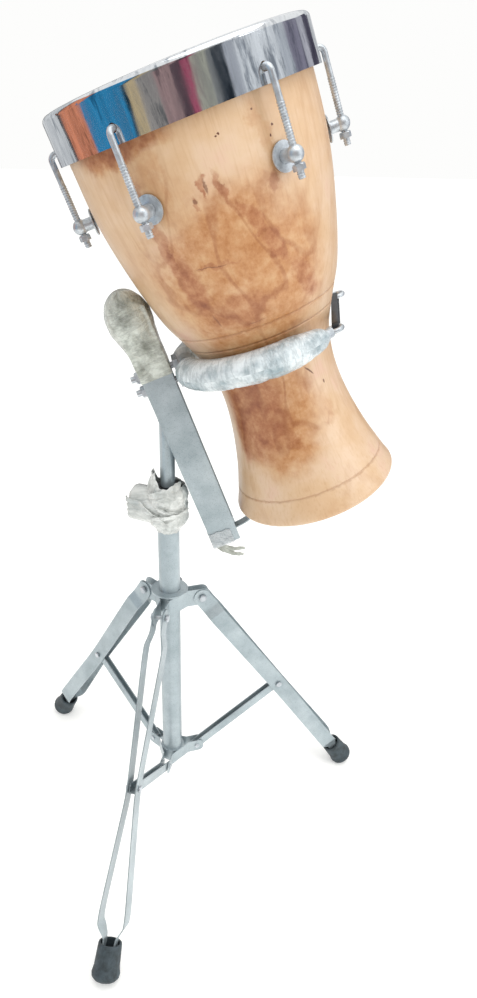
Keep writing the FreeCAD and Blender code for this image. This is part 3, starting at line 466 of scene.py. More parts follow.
def silver_stoved_paint():
    """Stoved silver paint on steel: fine metal flake under a thin, slightly rippled skin."""
    material, tree, shader = new_material("silver_stoved_paint", Metallic=0.5, Coat_Weight=0.2,
                                          Coat_Roughness=0.25)
    local = add(tree, "ShaderNodeTexCoord").outputs["Object"]
    clouds = add(tree, "ShaderNodeTexNoise", {"Vector": local, "Scale": 22, "Detail": 5, "Roughness": 0.6})
    base = add(tree, "ShaderNodeValToRGB", {"Fac": clouds},
               stops=((0.3, "#93a0a5"), (0.5, "#a6b2b7"), (0.7, "#b8c3c7")))
    specks = add(tree, "ShaderNodeTexNoise", {"Vector": local, "Scale": 900, "Detail": 2})
    flakes = add(tree, "ShaderNodeValToRGB", {"Fac": specks}, stops=((0.28, "#8b9497"), (0.45, "#ffffff")))
    scuffed = add(tree, "ShaderNodeMixRGB", {"Fac": 0.4, "Color1": base, "Color2": flakes},
                  blend_type="MULTIPLY")
    wear = add(tree, "ShaderNodeMapRange", {"Value": clouds, "To Min": 0.26, "To Max": 0.46})
    feed(tree, shader, {"Base Color": scuffed,
                        "Roughness": wear,
                        "Normal": fine_relief(tree, local, 260, 3, 0.12, 0.4)})
    return material


# %% Zinc plate
def dull_zinc_plate(name, dark, light, rough):
    """Zinc plate or bare steel: a grey metal, clouded where it has begun to oxidise."""
    material, tree, shader = new_material(name, Metallic=0.65)
    local = add(tree, "ShaderNodeTexCoord").outputs["Object"]
    clouds = add(tree, "ShaderNodeTexNoise", {"Vector": local, "Scale": 130, "Detail": 5, "Roughness": 0.65})
    base = add(tree, "ShaderNodeValToRGB", {"Fac": clouds}, stops=((0.3, dark), (0.62, light)))
    haze = add(tree, "ShaderNodeMapRange", {"Value": clouds, "To Min": rough + 0.12,
                                            "To Max": rough - 0.12})
    feed(tree, shader, {"Base Color": base,
                        "Roughness": haze,
                        "Normal": fine_relief(tree, local, 1500, 2, 0.15, 0.2)})
    return material


# %% Chrome
def mirror_chrome():
    """Chrome plate on rolled steel: a mirror with slow waves, and smears that run down the band."""
    material, tree, shader = new_material("mirror_chrome", Metallic=1.0)
    local = add(tree, "ShaderNodeTexCoord").outputs["Object"]
    band = add(tree, "ShaderNodeMapping", {"Vector": local, "Location": drum_axes.translation,
                                           "Rotation": (0, -lean, 0), "Scale": (1, 1, 5)},
               vector_type="TEXTURE")
    smears = add(tree, "ShaderNodeTexNoise", {"Vector": band, "Scale": 90, "Detail": 6, "Roughness": 0.7})
    rough = add(tree, "ShaderNodeMapRange", {"Value": smears, "From Min": 0.4, "From Max": 0.75,
                                             "To Min": 0.05, "To Max": 0.24})
    tint = add(tree, "ShaderNodeValToRGB", {"Fac": smears},
               stops=((0.34, "#9aa0a8"), (0.47, "#e4e7ea"), (0.75, "#c3c8cf")))
    feed(tree, shader, {"Normal": fine_relief(tree, local, 26, 1, 0.35, 0.8),
                        "Roughness": rough,
                        "Base Color": tint})
    return material


# %% Rubber and nylon
def moulded_rubber(name, dark, light, rough):
    """Moulded rubber or plastic: dull, a little chalky, with a fine grain from its mould."""
    material, tree, shader = new_material(name, Roughness=rough, Specular_IOR_Level=0.4)
    local = add(tree, "ShaderNodeTexCoord").outputs["Object"]
    chalk = add(tree, "ShaderNodeTexNoise", {"Vector": local, "Scale": 90, "Detail": 6, "Roughness": 0.7})
    base = add(tree, "ShaderNodeValToRGB", {"Fac": chalk}, stops=((0.35, dark), (0.7, light)))
    feed(tree, shader, {"Base Color": base, "Normal": fine_relief(tree, local, 1200, 2, 0.2, 0.2)})
    return material


# %% Rawhide
def shaved_rawhide():
    """A shaved goat skin, stretched dry: off-white and half clear, clouded, with faint pores and veins."""
    material, tree, shader = new_material("shaved_rawhide", Roughness=0.48, Subsurface_Weight=0.08,
                                          Coat_Weight=0.1, Coat_Roughness=0.35)
    local = add(tree, "ShaderNodeTexCoord").outputs["Object"]
    clouds = add(tree, "ShaderNodeTexNoise", {"Vector": local, "Scale": 14, "Detail": 7, "Roughness": 0.62})
    base = add(tree, "ShaderNodeValToRGB", {"Fac": clouds},
               stops=((0.3, "#b9b2a6"), (0.48, "#d3d0ca"), (0.7, "#e3e2de")))
    spine = add(tree, "ShaderNodeMapping", {"Vector": local, "Scale": (2.0, 9.0, 2.0)})
    streaks = add(tree, "ShaderNodeTexNoise", {"Vector": spine, "Scale": 9, "Detail": 8, "Roughness": 0.72})
    veins = add(tree, "ShaderNodeValToRGB", {"Fac": streaks}, stops=((0.34, "#a99f92"), (0.5, "#ffffff")))
    marked = add(tree, "ShaderNodeMixRGB", {"Fac": 0.6, "Color1": base, "Color2": veins},
                 blend_type="MULTIPLY")
    pores = add(tree, "ShaderNodeTexVoronoi", {"Vector": local, "Scale": 700})
    bump = add(tree, "ShaderNodeBump", {"Height": pores, "Strength": 0.25, "Distance": 0.25 * MM})
    feed(tree, shader, {"Base Color": marked, "Normal": bump})
    return material


# %% Give the frame's own parts their finishes
silver = silver_stoved_paint()
zinc = dull_zinc_plate("dull_zinc_plate", "#a3a9ae", "#cfd5da", 0.36)
chrome = mirror_chrome()
rubber = moulded_rubber("grey_black_rubber", "#2b3336", "#46535a", 0.6)
FINISHES = {"silver_paint": silver, "zinc_plate": zinc, "chrome": chrome, "rubber": rubber,
            "cast_metal": dull_zinc_plate("die_cast_zinc", "#7d8487", "#a7adb1", 0.45),
            "steel_rod": dull_zinc_plate("bare_steel_rod", "#9a9fa3", "#c3c8cc", 0.42),
            "nylon": moulded_rubber("black_nylon", "#17191a", "#2a2d2f", 0.5),
            "skin": shaved_rawhide()}
for node in frame["nodes"].values():
    kind = node.data.materials[0].name.split(".")[0]
    if kind in FINISHES:
        for place in node.material_slots:
            place.material = FINISHES[kind]
for name in ("cradle_ring", "cradle_nuts"):
    for place in frame["nodes"][name].material_slots:
        place.material = zinc
print(len(FINISHES), "finishes given to", len(frame["nodes"]), "nodes")

# %% [markdown]
# ### Something for chrome to show
# Chrome has no colour of its own: it shows the room. A ring of plain coloured cards stands round the drum.
# Only shiny surfaces see it, so it gives the hoop its upright stripes and lights nothing.

# %% The ring of cards
CARD_RING_RADIUS, CARD_LOW, CARD_HIGH = 1.9, 0.02, 1.9
CARDS = ((-180, "#34383b"), (-164, "#e7e9ea"), (-119, "#4b4f52"), (-114, "#ec9775"), (-86, "#3a93c4"),
         (-46, "#24475a"), (-42, "#cdb891"), (-33, "#a09b97"), (-20, "#ab8f8e"), (-8, "#64535a"),
         (-1, "#ad5a71"), (5, "#bab9aa"), (16, "#8f9192"), (21, "#3c434b"), (31, "#b4b8c0"),
         (40, "#e4e8ec"), (80, "#c9ced5"), (92, "#8b8899"), (112, "#c4c3cc"), (124, "#5b5868"),
         (140, "#e2e4e6"))


def make_card_ring(steps=72):
    rim = drum_axes.translation
    bm = bmesh.new()
    chart = bm.loops.layers.uv.new("ring_map")
    for step in range(steps):
        corners = []
        ends = (step, CARD_LOW), (step + 1, CARD_LOW), (step + 1, CARD_HIGH), (step, CARD_HIGH)
        for turn, height in ends:
            angle = 2 * math.pi * turn / steps - math.pi
            spot = (rim.x + CARD_RING_RADIUS * math.sin(angle),
                    rim.y - CARD_RING_RADIUS * math.cos(angle), height)
            corners.append((bm.verts.new(spot), (turn / steps, height)))
        face = bm.faces.new([corner[0] for corner in corners])
        for loop, corner in zip(face.loops, corners):
            loop[chart].uv = corner[1]
    mesh = bpy.data.meshes.new("card_ring")
    bm.to_mesh(mesh)
    bm.free()
    material = bpy.data.materials.new("coloured_cards")
    material.use_nodes = True
    tree = material.node_tree
    tree.nodes.clear()
    spread = add(tree, "ShaderNodeUVMap", uv_map="ring_map")
    tall = add(tree, "ShaderNodeMapping", {"Vector": spread, "Scale": (60, 2, 1)})
    streaks = add(tree, "ShaderNodeTexNoise", {"Vector": tall, "Scale": 1, "Detail": 5, "Roughness": 0.7})
    place = add(tree, "ShaderNodeSeparateXYZ", {0: spread})
    shaky = add(tree, "ShaderNodeMath", {0: streaks, 1: 0.022, 2: place}, operation="MULTIPLY_ADD")
    colour = add(tree, "ShaderNodeValToRGB", {"Fac": shaky},
                 stops=[((angle + 184) / 360, code) for angle, code in CARDS])
    colour.color_ramp.interpolation = "CONSTANT"
    shading = add(tree, "ShaderNodeValToRGB", {"Fac": streaks}, stops=((0.3, "#8d9298"), (0.6, "#ffffff")))
    uneven = add(tree, "ShaderNodeMixRGB", {"Fac": 0.75, "Color1": colour, "Color2": shading},
                 blend_type="MULTIPLY")
    glow = add(tree, "ShaderNodeEmission", {"Color": uneven})
    add(tree, "ShaderNodeOutputMaterial", {"Surface": glow})
    mesh.materials.append(material)
    ring = add_object("card_ring", mesh)
    ring.visible_camera = ring.visible_diffuse = ring.visible_shadow = ring.visible_transmission = False


make_card_ring()
print(len(CARDS), "coloured cards stand", CARD_RING_RADIUS, "m from the drum")

# %% [markdown]
# ## The skin
# The head is one shaved skin. It lies flat over the rim, turns down outside the shell and is rolled round the
# flesh hoop, which the chromed hoop pulls down. A lathe makes it, and a little noise keeps it from lying as
# flat as glass.

# %% The head
HEAD_TOP, HEAD_THICK, HEAD_FLAT = 3.0, 1.2, 128
HEAD_EDGE = ((129.5, 3.0), (132.6, 4.2), (134.0, 7.0), (134.2, 26.0), (133.3, 26.0), (133.0, 8.0),
             (131.6, 5.2), (129.0, 4.2))


def make_head(material, turns=180, ring_gap=4):
    top = [(radius, HEAD_TOP) for radius in range(0, HEAD_FLAT, ring_gap)]
    under = [(radius, drop + HEAD_THICK) for radius, drop in reversed(top)]

    def uneven(spot, radius, drop):
        return 0, -0.35 * noise.noise(spot * 22) * ease(radius, HEAD_FLAT + 2, HEAD_FLAT - 20)

    mesh = lathe("rawhide_head", (*top, *HEAD_EDGE, *under), turns, uneven, round_ring=False)
    return settle(mesh, "drum", "skin", material, "drum_head")


make_head(FINISHES["skin"])


# %% [markdown]
# ## Foam under clear film
# The cradle's arms and the top of the channel are padded with grey foam, still in the clear film that it was
# packed in. The film is what the eye sees: it is pulled tight, so it lies in sharp ridges with smooth
# hollows between them, and it shines. The larger ridges are real shape here, from a ridged noise that is
# stretched the way the film is pulled, and the finer ones are in the finish.

# %% Folds and creases
def folds(spot, sizes):
    """Sharp ridges of stretched film, from 0 to 1; sizes are how far apart they lie each way."""
    scaled = Vector([place / size for place, size in zip(spot, sizes)])
    return min(noise.ridged_multi_fractal(scaled, 0.9, 2.0, 3, 1.0, 2.0), 2.0) / 2


def crease_lines(tree, vector, scale, twist):
    """Thin wandering lines where a noise crosses its middle value: 0 on a crease and more away from it."""
    wander = add(tree, "ShaderNodeTexNoise", {"Vector": vector, "Scale": scale, "Detail": 5,
                                              "Roughness": 0.6, "Distortion": twist})
    centred = add(tree, "ShaderNodeMath", {0: wander, 1: 0.5}, operation="SUBTRACT")
    return add(tree, "ShaderNodeMath", {0: centred}, operation="ABSOLUTE")


def crinkled_film(name, dark, light, crease, pull, clear=1.0):
    """Clear film over something pale: cloudy, with hard glints and painted shade along its creases; pull
    stretches the pattern on its map.
    """
    material, tree, shader = new_material(name, Roughness=0.32, Coat_Weight=1.0, Coat_Roughness=0.07,
                                          Specular_IOR_Level=0.7, Alpha=clear)
    sheet = add(tree, "ShaderNodeUVMap", uv_map="surface_map")
    pulled = add(tree, "ShaderNodeMapping", {"Vector": sheet, "Scale": pull})
    clouds = add(tree, "ShaderNodeTexNoise", {"Vector": sheet, "Scale": 34, "Detail": 6, "Roughness": 0.62})
    base = add(tree, "ShaderNodeValToRGB", {"Fac": clouds}, stops=((0.34, dark), (0.56, light)))
    wide = crease_lines(tree, pulled, 42, 0.3)
    fine = crease_lines(tree, pulled, 130, 0.4)
    # Painted shade: the wide creases are darkened towards the crease colour.
    lines = add(tree, "ShaderNodeValToRGB", {"Fac": wide}, stops=((0.0, crease), (0.06, "#ffffff")))
    crease_shaded = add(tree, "ShaderNodeMixRGB", {"Fac": 0.3, "Color1": base, "Color2": lines},
                blend_type="MULTIPLY")
    heights = add(tree, "ShaderNodeMath", {0: fine, 1: 0.6, 2: wide}, operation="MULTIPLY_ADD")
    bump = add(tree, "ShaderNodeBump", {"Height": heights, "Strength": 0.7, "Distance": 7 * MM})
    feed(tree, shader, {"Base Color": crease_shaded, "Normal": bump, "Coat Normal": bump})
    return material


# The fourth colour given to each film is the painted shade in its creases.
clear_wrap = crinkled_film("clear_film_on_grey_foam", "#8c9fa6", "#dfe7ea", "#62767d", (2.4, 0.6, 1))
dusty_wrap = crinkled_film("dusty_film_on_grey_foam", "#7f8377", "#cfd4cb", "#4d4e42", (0.7, 1.8, 1))

print(clear_wrap.name, "for the arm pads and", dusty_wrap.name, "for the top pad")

# %% [markdown]
# ### The arm pads
# Each pad is a foam tube pushed over the bent bar. It could be a swept circle, but the film makes it what it
# is: close ribs where the tube bends, long folds underneath, and a pinched tip. So the ring that is carried
# round the bar changes its radius at every point.

# %% The arm pads
PAD_RADIUS, CRADLE_RADIUS, CRADLE_DROP = 17.9, 101, 292
ARM_TIP, ARM_ROOT = 55.5, 166.5


def make_arm_pad(name, side, node, rings=230, points=120):
    """Side 1 is the pad round the front of the drum and -1 the one behind it."""
    loops, reach_round = [], []
    for index in range(rings + 1):
        angle = lerp(ARM_TIP, ARM_ROOT, index / rings)
        along = math.radians(angle - ARM_TIP) * CRADLE_RADIUS
        left = math.radians(ARM_ROOT - angle) * CRADLE_RADIUS
        tip = math.sqrt(max(1 - (1 - min(along / 18, 1)) ** 2, 0.02)) * lerp(0.66, 1, ease(along, 0, 58))
        end = math.sqrt(max(1 - (1 - min(left / 4, 1)) ** 2, 0.4))
        bent = ease(left, 105, 55)
        loop = []
        for step in range(points):
            turn = 2 * math.pi * step / points
            out, rise = math.cos(turn), math.sin(turn)
            below = ease(rise, 0.45, -0.5)
            ribs = folds((along + 4 * rise, 16 * out, 16 * rise), (4.6, 40, 40))
            runs = folds((along, 16 * out, 16 * rise), (26, 9, 9))
            sag = 0.7 * noise.noise(Vector((along / 26, out, rise + side)))
            dents = lerp(0.3, 2.6, below) * runs * (1 - 0.6 * bent) + 1.6 * ribs * bent
            radius = PAD_RADIUS * tip * end + 0.9 + sag * tip - dents * lerp(0.5, 1, ease(along, 0, 20))
            reach = min(radius, PAD_RADIUS)
            loop.append(on_drum(side * angle, CRADLE_RADIUS + reach * out, CRADLE_DROP - reach * rise))
        loops.append(loop)
        reach_round.append(along * MM)

    def chart(i, j):
        return (reach_round[i], 2 * math.pi * j / points * PAD_RADIUS * MM)

    piece = settle(skin(name, loops, chart=chart), "mast", "foam", clear_wrap, node)


make_arm_pad("front_foam_sleeve", 1, "front_arm_pad")
make_arm_pad("back_foam_sleeve", -1, "back_arm_pad")

# %% [markdown]
# ### The ball at the top
# A block of foam sits over the channel's top end, bagged in film. The film is gathered below the ball and
# pulled tight down the channel, so the shape goes from a ball to the channel's own square section.

# %% The top pad
BALL_MIDDLE, BALL_RADIUS, BALL_WIDE, BALL_HALF = 219, 140, 27, 38.5
WRAP_END, WRAP_CLEAR = 287, 0.9
channel_low, channel_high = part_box("holder_channel")
CHANNEL_HALF = (channel_high[1] - channel_low[1]) / 2 / MM
CHANNEL_MIDDLE, CHANNEL_TOP = 136, 207


def channel_section(turn, half, corner=0.12):
    """Distance from the middle to a rounded square, at an angle."""
    power = 2 / corner
    return half / (abs(math.cos(turn)) ** power + abs(math.sin(turn)) ** power) ** (1 / power)


def channel_cover(turn, middle):
    """The distance from the pad's middle to the channel's outline, at an angle."""
    out, across = math.cos(turn), math.sin(turn)
    towards_web = CHANNEL_HALF + (CHANNEL_MIDDLE - middle if out > 0 else middle - CHANNEL_MIDDLE)
    return min(towards_web / max(abs(out), 1e-3), CHANNEL_HALF / max(abs(across), 1e-3))


def make_top_pad(rings=170, points=144):
    loops, drops = [], []
    top = BALL_MIDDLE - BALL_HALF
    for index in range(rings + 1):
        drop = lerp(top, WRAP_END, (index / rings) ** 1.15)
        height = min(abs(drop - BALL_MIDDLE) / BALL_HALF, 1)
        ball = BALL_WIDE * math.sqrt(max(1 - height * height, 0))
        ball = max(ball, 25.5 * ease(drop, BALL_MIDDLE, BALL_MIDDLE + 6))
        wrapped = ease(drop, BALL_MIDDLE + 6, BALL_MIDDLE + 42)
        gathered = ease(drop, 212, 236) * ease(drop, 288, 268)
        middle = lerp(BALL_RADIUS, CHANNEL_MIDDLE, wrapped)
        loop = []
        for step in range(points):
            turn = 2 * math.pi * step / points
            square = channel_section(turn, CHANNEL_HALF + WRAP_CLEAR)
            radius = lerp(ball, square, wrapped)
            out, across = math.cos(turn), math.sin(turn)
            ridges = folds((26 * out, 26 * across, drop + 9 * out), (16, 16, 13))
            pleats = folds((26 * out, 26 * across, drop), (7, 7, 44))
            deep = (0.9 * ridges * (1 - gathered) + 1.7 * pleats * gathered) * min(ball / 14, 1)
            sag = 0.8 * noise.noise(Vector((out * 1.6, across * 1.6, drop / 22))) * (1 - wrapped)
            radius += 0.9 * min(ball / 14, 1) * (1 - wrapped) + sag + deep * lerp(-1, 0.7, wrapped)
            cover = channel_cover(turn, middle) + WRAP_CLEAR
            radius = max(radius, cover * ease(drop, CHANNEL_TOP - 14, CHANNEL_TOP - 2))
            loop.append(beside(middle + radius * out, drop, radius * across))
        loops.append(loop)
        drops.append(drop * MM)

    def chart(i, j):
        return (2 * math.pi * j / points * BALL_WIDE * MM, drops[i])

    piece = settle(skin("top_foam_ball", loops, chart=chart), "mast", "foam", dusty_wrap, "top_pad")


make_top_pad()

# %% [markdown]
# ## The film round the clamp
# The height clamp and its wing bolt are still in their packing film, crumpled and cloudy. It is cinched round
# the tube below, bags out over the wing bolt, and stands up in a torn edge behind the mast. A simulation
# would have to know how someone once wound it, so its shape is given: a sleeve whose radius follows what
# is inside it, with folds pushed outwards. It stays inside the space that the channel leaves when it swivels.

# %% Where the film may go
bolt_low, bolt_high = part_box("height_wing_bolt")
BOLT_HEIGHT = (bolt_low[2] + bolt_high[2]) / 2
WEB_TOP, WEB_SLOPE = 0.6164, drum_up.z / -drum_up.x
BOLT_TURN, BOLT_REACH, BOLT_SWEEP, CLAMP_COVER = 150, 45.0, 24.2, 23.5
FILM_THICK = 0.5
NECK_RADIUS, TOP_RADIUS, TORN_RADIUS, PASSING_RADIUS = 15.2, 19.0, 15.5, 19.6
BAG_LOW, BAG_HIGH, BAG_RISE, TORN_TOP = 0.4875, 0.5535, 0.017, 0.582
print("the wing bolt is", round(BOLT_HEIGHT, 3), "m up and sweeps", BOLT_SWEEP, "mm")


def swept_radius(angle, height):
    """The radius in mm that covers the clamp, and the disc that the wing bolt sweeps."""
    side = math.radians(angle - BOLT_TURN)
    half = math.sqrt(max(BOLT_SWEEP ** 2 - ((height - BOLT_HEIGHT) / MM) ** 2, 0))
    if math.cos(side) < 0.1 or half == 0:
        return CLAMP_COVER
    return max(min(BOLT_REACH / math.cos(side), half / max(abs(math.sin(side)), 1e-3)), CLAMP_COVER)


def channel_room(height):
    """The radius in mm beyond which the channel passes when the mast swivels."""
    return (WEB_TOP - height) / WEB_SLOPE / MM - 2.0


def behind(angle):
    """1 behind the mast, where the film stands up, and 0 where the swivelling channel passes."""
    return min(ease(angle, 118, 154), ease(angle, 236, 206))


def covering(angle, height):
    """The radius in mm of film that covers the clamp and closes in on the mast above it."""
    closed = ease(height, 0.545, lerp(BAG_HIGH, TORN_TOP, behind(angle)))
    return lerp(swept_radius(angle, height), lerp(TOP_RADIUS, TORN_RADIUS, behind(angle)), closed)


def clear_of_channel(angle, height, radius, layer=0):
    """Hold a radius back where the channel passes; layer is how far outside the bag the film lies."""
    facing = ease(abs((angle + 180) % 360 - 180), 138, 122)
    room = max(channel_room(height), PASSING_RADIUS) + layer
    return lerp(radius, min(radius, room), facing)


def on_clamp(angle, height):
    """A place in mm for noise that runs round the clamp without a seam."""
    turn = math.radians(angle)
    return (24 * math.cos(turn), 24 * math.sin(turn), height / MM)


def film_sheet(name, start, end, low, high, radius_of, turns, rows):
    """A closed thin sheet of film between two angles; low, high and radius_of are functions."""
    rings, levels = [], []
    for index in range(turns + (end - start < 360)):
        angle = lerp(start, end, index / turns)
        way = Vector((math.cos(math.radians(angle)), math.sin(math.radians(angle)), 0))
        outer, inner, column = [], [], []
        for row in range(rows + 1):
            height = lerp(low(angle), high(angle), row / rows)
            radius = radius_of(angle, height)
            outer.append(way * (radius * MM) + Vector((0, 0, height)))
            inner.append(way * ((radius - FILM_THICK) * MM) + Vector((0, 0, height)))
            column.append(height)
        rings.append(outer + inner[::-1])
        levels.append(column + column[::-1])

    def chart(i, j):
        column = levels[i % len(levels)]
        return (math.radians(lerp(start, end, i / turns)) * 0.025, column[j % len(column)])

    return skin(name, rings, round_path=end - start >= 360, chart=chart)


# %% The bag
# The fourth colour is the painted shade in the film's creases.
milky_film = crinkled_film("crumpled_cloudy_polythene", "#b3b8b4", "#e6e9e6", "#8b908a", (1, 1, 1), 0.93)


def make_clamp_bag():
    def low(angle):
        return BAG_LOW + 0.0015 * noise.noise(Vector((angle * 0.05, 0, 0)))

    def high(angle):
        torn = noise.noise(Vector((angle * 0.06, 3, 0)))
        return BAG_HIGH + BAG_RISE * behind(angle) + 0.004 * torn * (0.3 + behind(angle))

    def radius_of(angle, height):
        cinched = ease(height, 0.488, 0.503)
        spot = on_clamp(angle, height)
        crumple = 2.6 * folds(spot, (24, 24, 15)) + 1.5 * folds(spot, (9, 9, 12))
        radius = covering(angle, height) + crumple * lerp(0.4, 1, cinched)
        radius = lerp(NECK_RADIUS + 0.3 * crumple, radius, cinched)
        return clear_of_channel(angle, height, radius)

    mesh = film_sheet("clamp_film_bag", 0, 360, low, high, radius_of, 240, 100)
    return settle(mesh, "root", "film", milky_film, "clamp_film")


make_clamp_bag()

# %% The loose turns of film
LOOSE_TURNS = (  # start and end angle, height at each end, width of the band and how far it stands out
    (196, 322, 0.5405, 0.5600, 9, 1.2), (215, 330, 0.5130, 0.5235, 6, 2.6),
    (230, 318, 0.5290, 0.5180, 5, 1.8), (170, 262, 0.5330, 0.5080, 8, 2.0))


def make_loose_turn(number, start, end, first, last, wide, stand):
    """One torn band of film that runs part of the way round the bag."""
    def edge(angle, way, seed):
        ragged = noise.noise(Vector((angle * 0.07, number, seed)))
        taper = ease(angle, start, start + 14) * ease(angle, end, end - 14)
        half = wide * MM / 2 * lerp(0.25, 1, taper) * (1 + 0.5 * ragged)
        return lerp(first, last, (angle - start) / (end - start)) + way * half

    def low(angle):
        return edge(angle, -1, 0)

    def high(angle):
        return edge(angle, 1, 9)

    def radius_of(angle, height):
        curl = ease(height, edge(angle, 0, 0), high(angle)) * 1.4
        crumple = 1.2 * folds(on_clamp(angle, height), (10, 10, 8))
        lifted = covering(angle, height) + 2.2 + stand + curl + crumple
        return clear_of_channel(angle, height, lifted, 0.6)

    mesh = film_sheet(f"loose_film_{number}", start, end, low, high, radius_of, 70, 10)
    settle(mesh, "root", "film", milky_film)


for number, loose_turn in enumerate(LOOSE_TURNS, start=1):
    make_loose_turn(number, *loose_turn)

# %% [markdown]
# ### The rubber strap
# A black rubber band closes the open side of the cradle. It passes through the eye at each end of the bar and
# comes back, so it is two bands with a round turn at each end: a ring carried along a stadium.

# %% The strap
STRAP_WIDE, STRAP_THICK, STRAP_TURN = 8.0, 2.6, 4.2


def make_strap(points=16, bend=14, run_steps=30):
    spots = [vertex.co for vertex in frame["nodes"]["cradle_strap"].data.vertices]
    near = min(spots, key=lambda spot: spot.y)
    far = max(spots, key=lambda spot: spot.y)
    run = far - near
    run = (run - drum_up * run.dot(drum_up)).normalized()
    out = drum_up.cross(run).normalized()
    reach = [spot.dot(run) for spot in spots]
    centre = sum(spots, Vector()) / len(spots)
    level = centre - run * centre.dot(run)
    start, end = min(reach) + 6 * MM, max(reach) - 6 * MM
    path = []
    for step in range(run_steps):
        path.append((lerp(start, end, step / run_steps), 1.0, 0.0))
    for step in range(bend):
        path.append((end, math.cos(math.pi * step / bend), math.sin(math.pi * step / bend)))
    for step in range(run_steps):
        path.append((lerp(end, start, step / run_steps), -1.0, 0.0))
    for step in range(bend):
        path.append((start, -math.cos(math.pi * step / bend), -math.sin(math.pi * step / bend)))
    middles = []
    for along, up, round_end in path:
        middles.append(level + run * (along + round_end * STRAP_TURN * MM) + drum_up * (up * STRAP_TURN * MM))
    loops = []
    for index, middle in enumerate(middles):
        ahead = (middles[(index + 1) % len(middles)] - middles[index - 1]).normalized()
        across = ahead.cross(out).normalized()
        loop = []
        for step in range(points):
            turn = 2 * math.pi * step / points
            wide = math.copysign(abs(math.cos(turn)) ** 0.5, math.cos(turn)) * STRAP_WIDE / 2
            deep = math.copysign(abs(math.sin(turn)) ** 0.6, math.sin(turn)) * STRAP_THICK / 2
            loop.append(middle + out * (wide * MM) + across * (deep * MM))
        loops.append(loop)
    return settle(skin("rubber_strap", loops, round_path=True), "mast", "rubber",
                  moulded_rubber("black_rubber_strap", "#1f2123", "#3a3d40", 0.42), "cradle_strap")


make_strap()


# %% [markdown]
# ## Threads and welds
# The lower half of each hook rod is threaded, and the mast is welded to the channel by hand, in a row of
# small beads. Both are one small shape that follows a rule, many times over, so Geometry Nodes make them: a
# spiral with a round section for the thread, and beads of uneven size set along a line for the weld. The
# result of each tree is turned into a plain mesh.

# %% Growing a mesh from a node tree
def new_tree(name, **sizes):
    """A geometry tree that takes a mesh, a material and named sizes; returns the tree and its input node."""
    tree = bpy.data.node_groups.new(name, "GeometryNodeTree")
    tree.interface.new_socket("Mesh", in_out="INPUT", socket_type="NodeSocketGeometry")
    tree.interface.new_socket("Finish", in_out="INPUT", socket_type="NodeSocketMaterial")
    for size, kind in sizes.items():
        tree.interface.new_socket(size.replace("_", " "), in_out="INPUT", socket_type=kind)
    tree.interface.new_socket("Mesh", in_out="OUTPUT", socket_type="NodeSocketGeometry")
    return tree, add(tree, "NodeGroupInput").outputs


def finish_tree(tree, given, instances):
    """End a tree: real faces with the finish that was asked for."""
    real = add(tree, "GeometryNodeRealizeInstances", {"Geometry": instances})
    finished = add(tree, "GeometryNodeSetMaterial", {"Geometry": real, "Material": given["Finish"]})
    add(tree, "NodeGroupOutput", {"Mesh": finished})


def grow(name, tree, points, edges, body, slot, finish, **sizes):
    """Run a tree on some points and lines, and settle what grows there as one plain piece."""
    seeds = bpy.data.meshes.new(name + "_seeds")
    seeds.from_pydata(points, edges, [])
    holder = add_object(name + "_seeds", seeds)
    modifier = holder.modifiers.new("grow", "NODES")
    modifier.node_group = tree
    values = {size.replace("_", " "): value for size, value in sizes.items()} | {"Finish": finish}
    for socket in tree.interface.items_tree:
        if socket.in_out == "INPUT" and socket.name in values:
            modifier[socket.identifier] = values[socket.name]
    depsgraph = bpy.context.evaluated_depsgraph_get()
    grown = bpy.data.meshes.new_from_object(holder.evaluated_get(depsgraph), depsgraph=depsgraph)
    bpy.data.objects.remove(holder)
    grown.name = name
    for face in grown.polygons:
        face.use_smooth = True
    return settle(grown, body, slot, finish)


# %% [markdown]
# ### The rod threads
# A real thread of this size has a pitch of 1 mm, too fine to see from here, so it is drawn at 2.6 mm.
# The tuning nuts' joints say where each rod is. The thread stops short of the lug and of the nut.

# %% The rod threads
THREAD_PITCH, THREAD_RIDGE, ROD_RADIUS = 2.6 * MM, 0.95 * MM, 3.2 * MM
THREAD_STARTS, THREAD_LENGTHS = (98.3 * MM, 128.2 * MM), (36 * MM, 5.2 * MM)


def thread_tree():
    """A spiral ridge on every given point, standing along the drum's axis."""
    tree, given = new_tree("rod_thread", Length="NodeSocketFloat", Pitch="NodeSocketFloat",
                           Radius="NodeSocketFloat", Ridge="NodeSocketFloat")
    rounds = add(tree, "ShaderNodeMath", {0: given["Length"], 1: given["Pitch"]}, operation="DIVIDE")
    spiral = add(tree, "GeometryNodeCurveSpiral", {"Resolution": 14, "Rotations": rounds,
                                                   "Start Radius": given["Radius"],
                                                   "End Radius": given["Radius"],
                                                   "Height": given["Length"]})
    section = add(tree, "GeometryNodeCurvePrimitiveCircle", {"Resolution": 6, "Radius": given["Ridge"]})
    ridge = add(tree, "GeometryNodeCurveToMesh", {"Curve": spiral, "Profile Curve": section,
                                                  "Fill Caps": True})
    on_rods = add(tree, "GeometryNodeInstanceOnPoints", {"Points": given["Mesh"], "Instance": ridge,
                                                         "Rotation": (0, -lean, 0)})
    finish_tree(tree, given, on_rods)
    return tree


def make_threads():
    tree = thread_tree()
    turns = [joint for name, joint in joints.items() if name.startswith("tuning_nut")]
    to_drum = drum_axes.inverted()
    for place, (start, length) in zip(("above", "below"), zip(THREAD_STARTS, THREAD_LENGTHS)):
        feet = []
        for joint in turns:
            spot = to_drum @ Vector(joint["pos_m"])
            feet.append(drum_axes @ Vector((spot.x, spot.y, -start)))
        grow(f"rod_threads_{place}_lugs", tree, feet, [], "drum", "zinc_plate", zinc,
             Length=length, Pitch=THREAD_PITCH, Radius=ROD_RADIUS - 0.35 * MM, Ridge=THREAD_RIDGE)


make_threads()


# %% [markdown]
# ### The weld beads
# The welder went round the mast where its slanting end meets the channel. That line is an ellipse: the
# mast's round, lifted to the channel's slope. The painter's silver went over it, so it has the same finish.

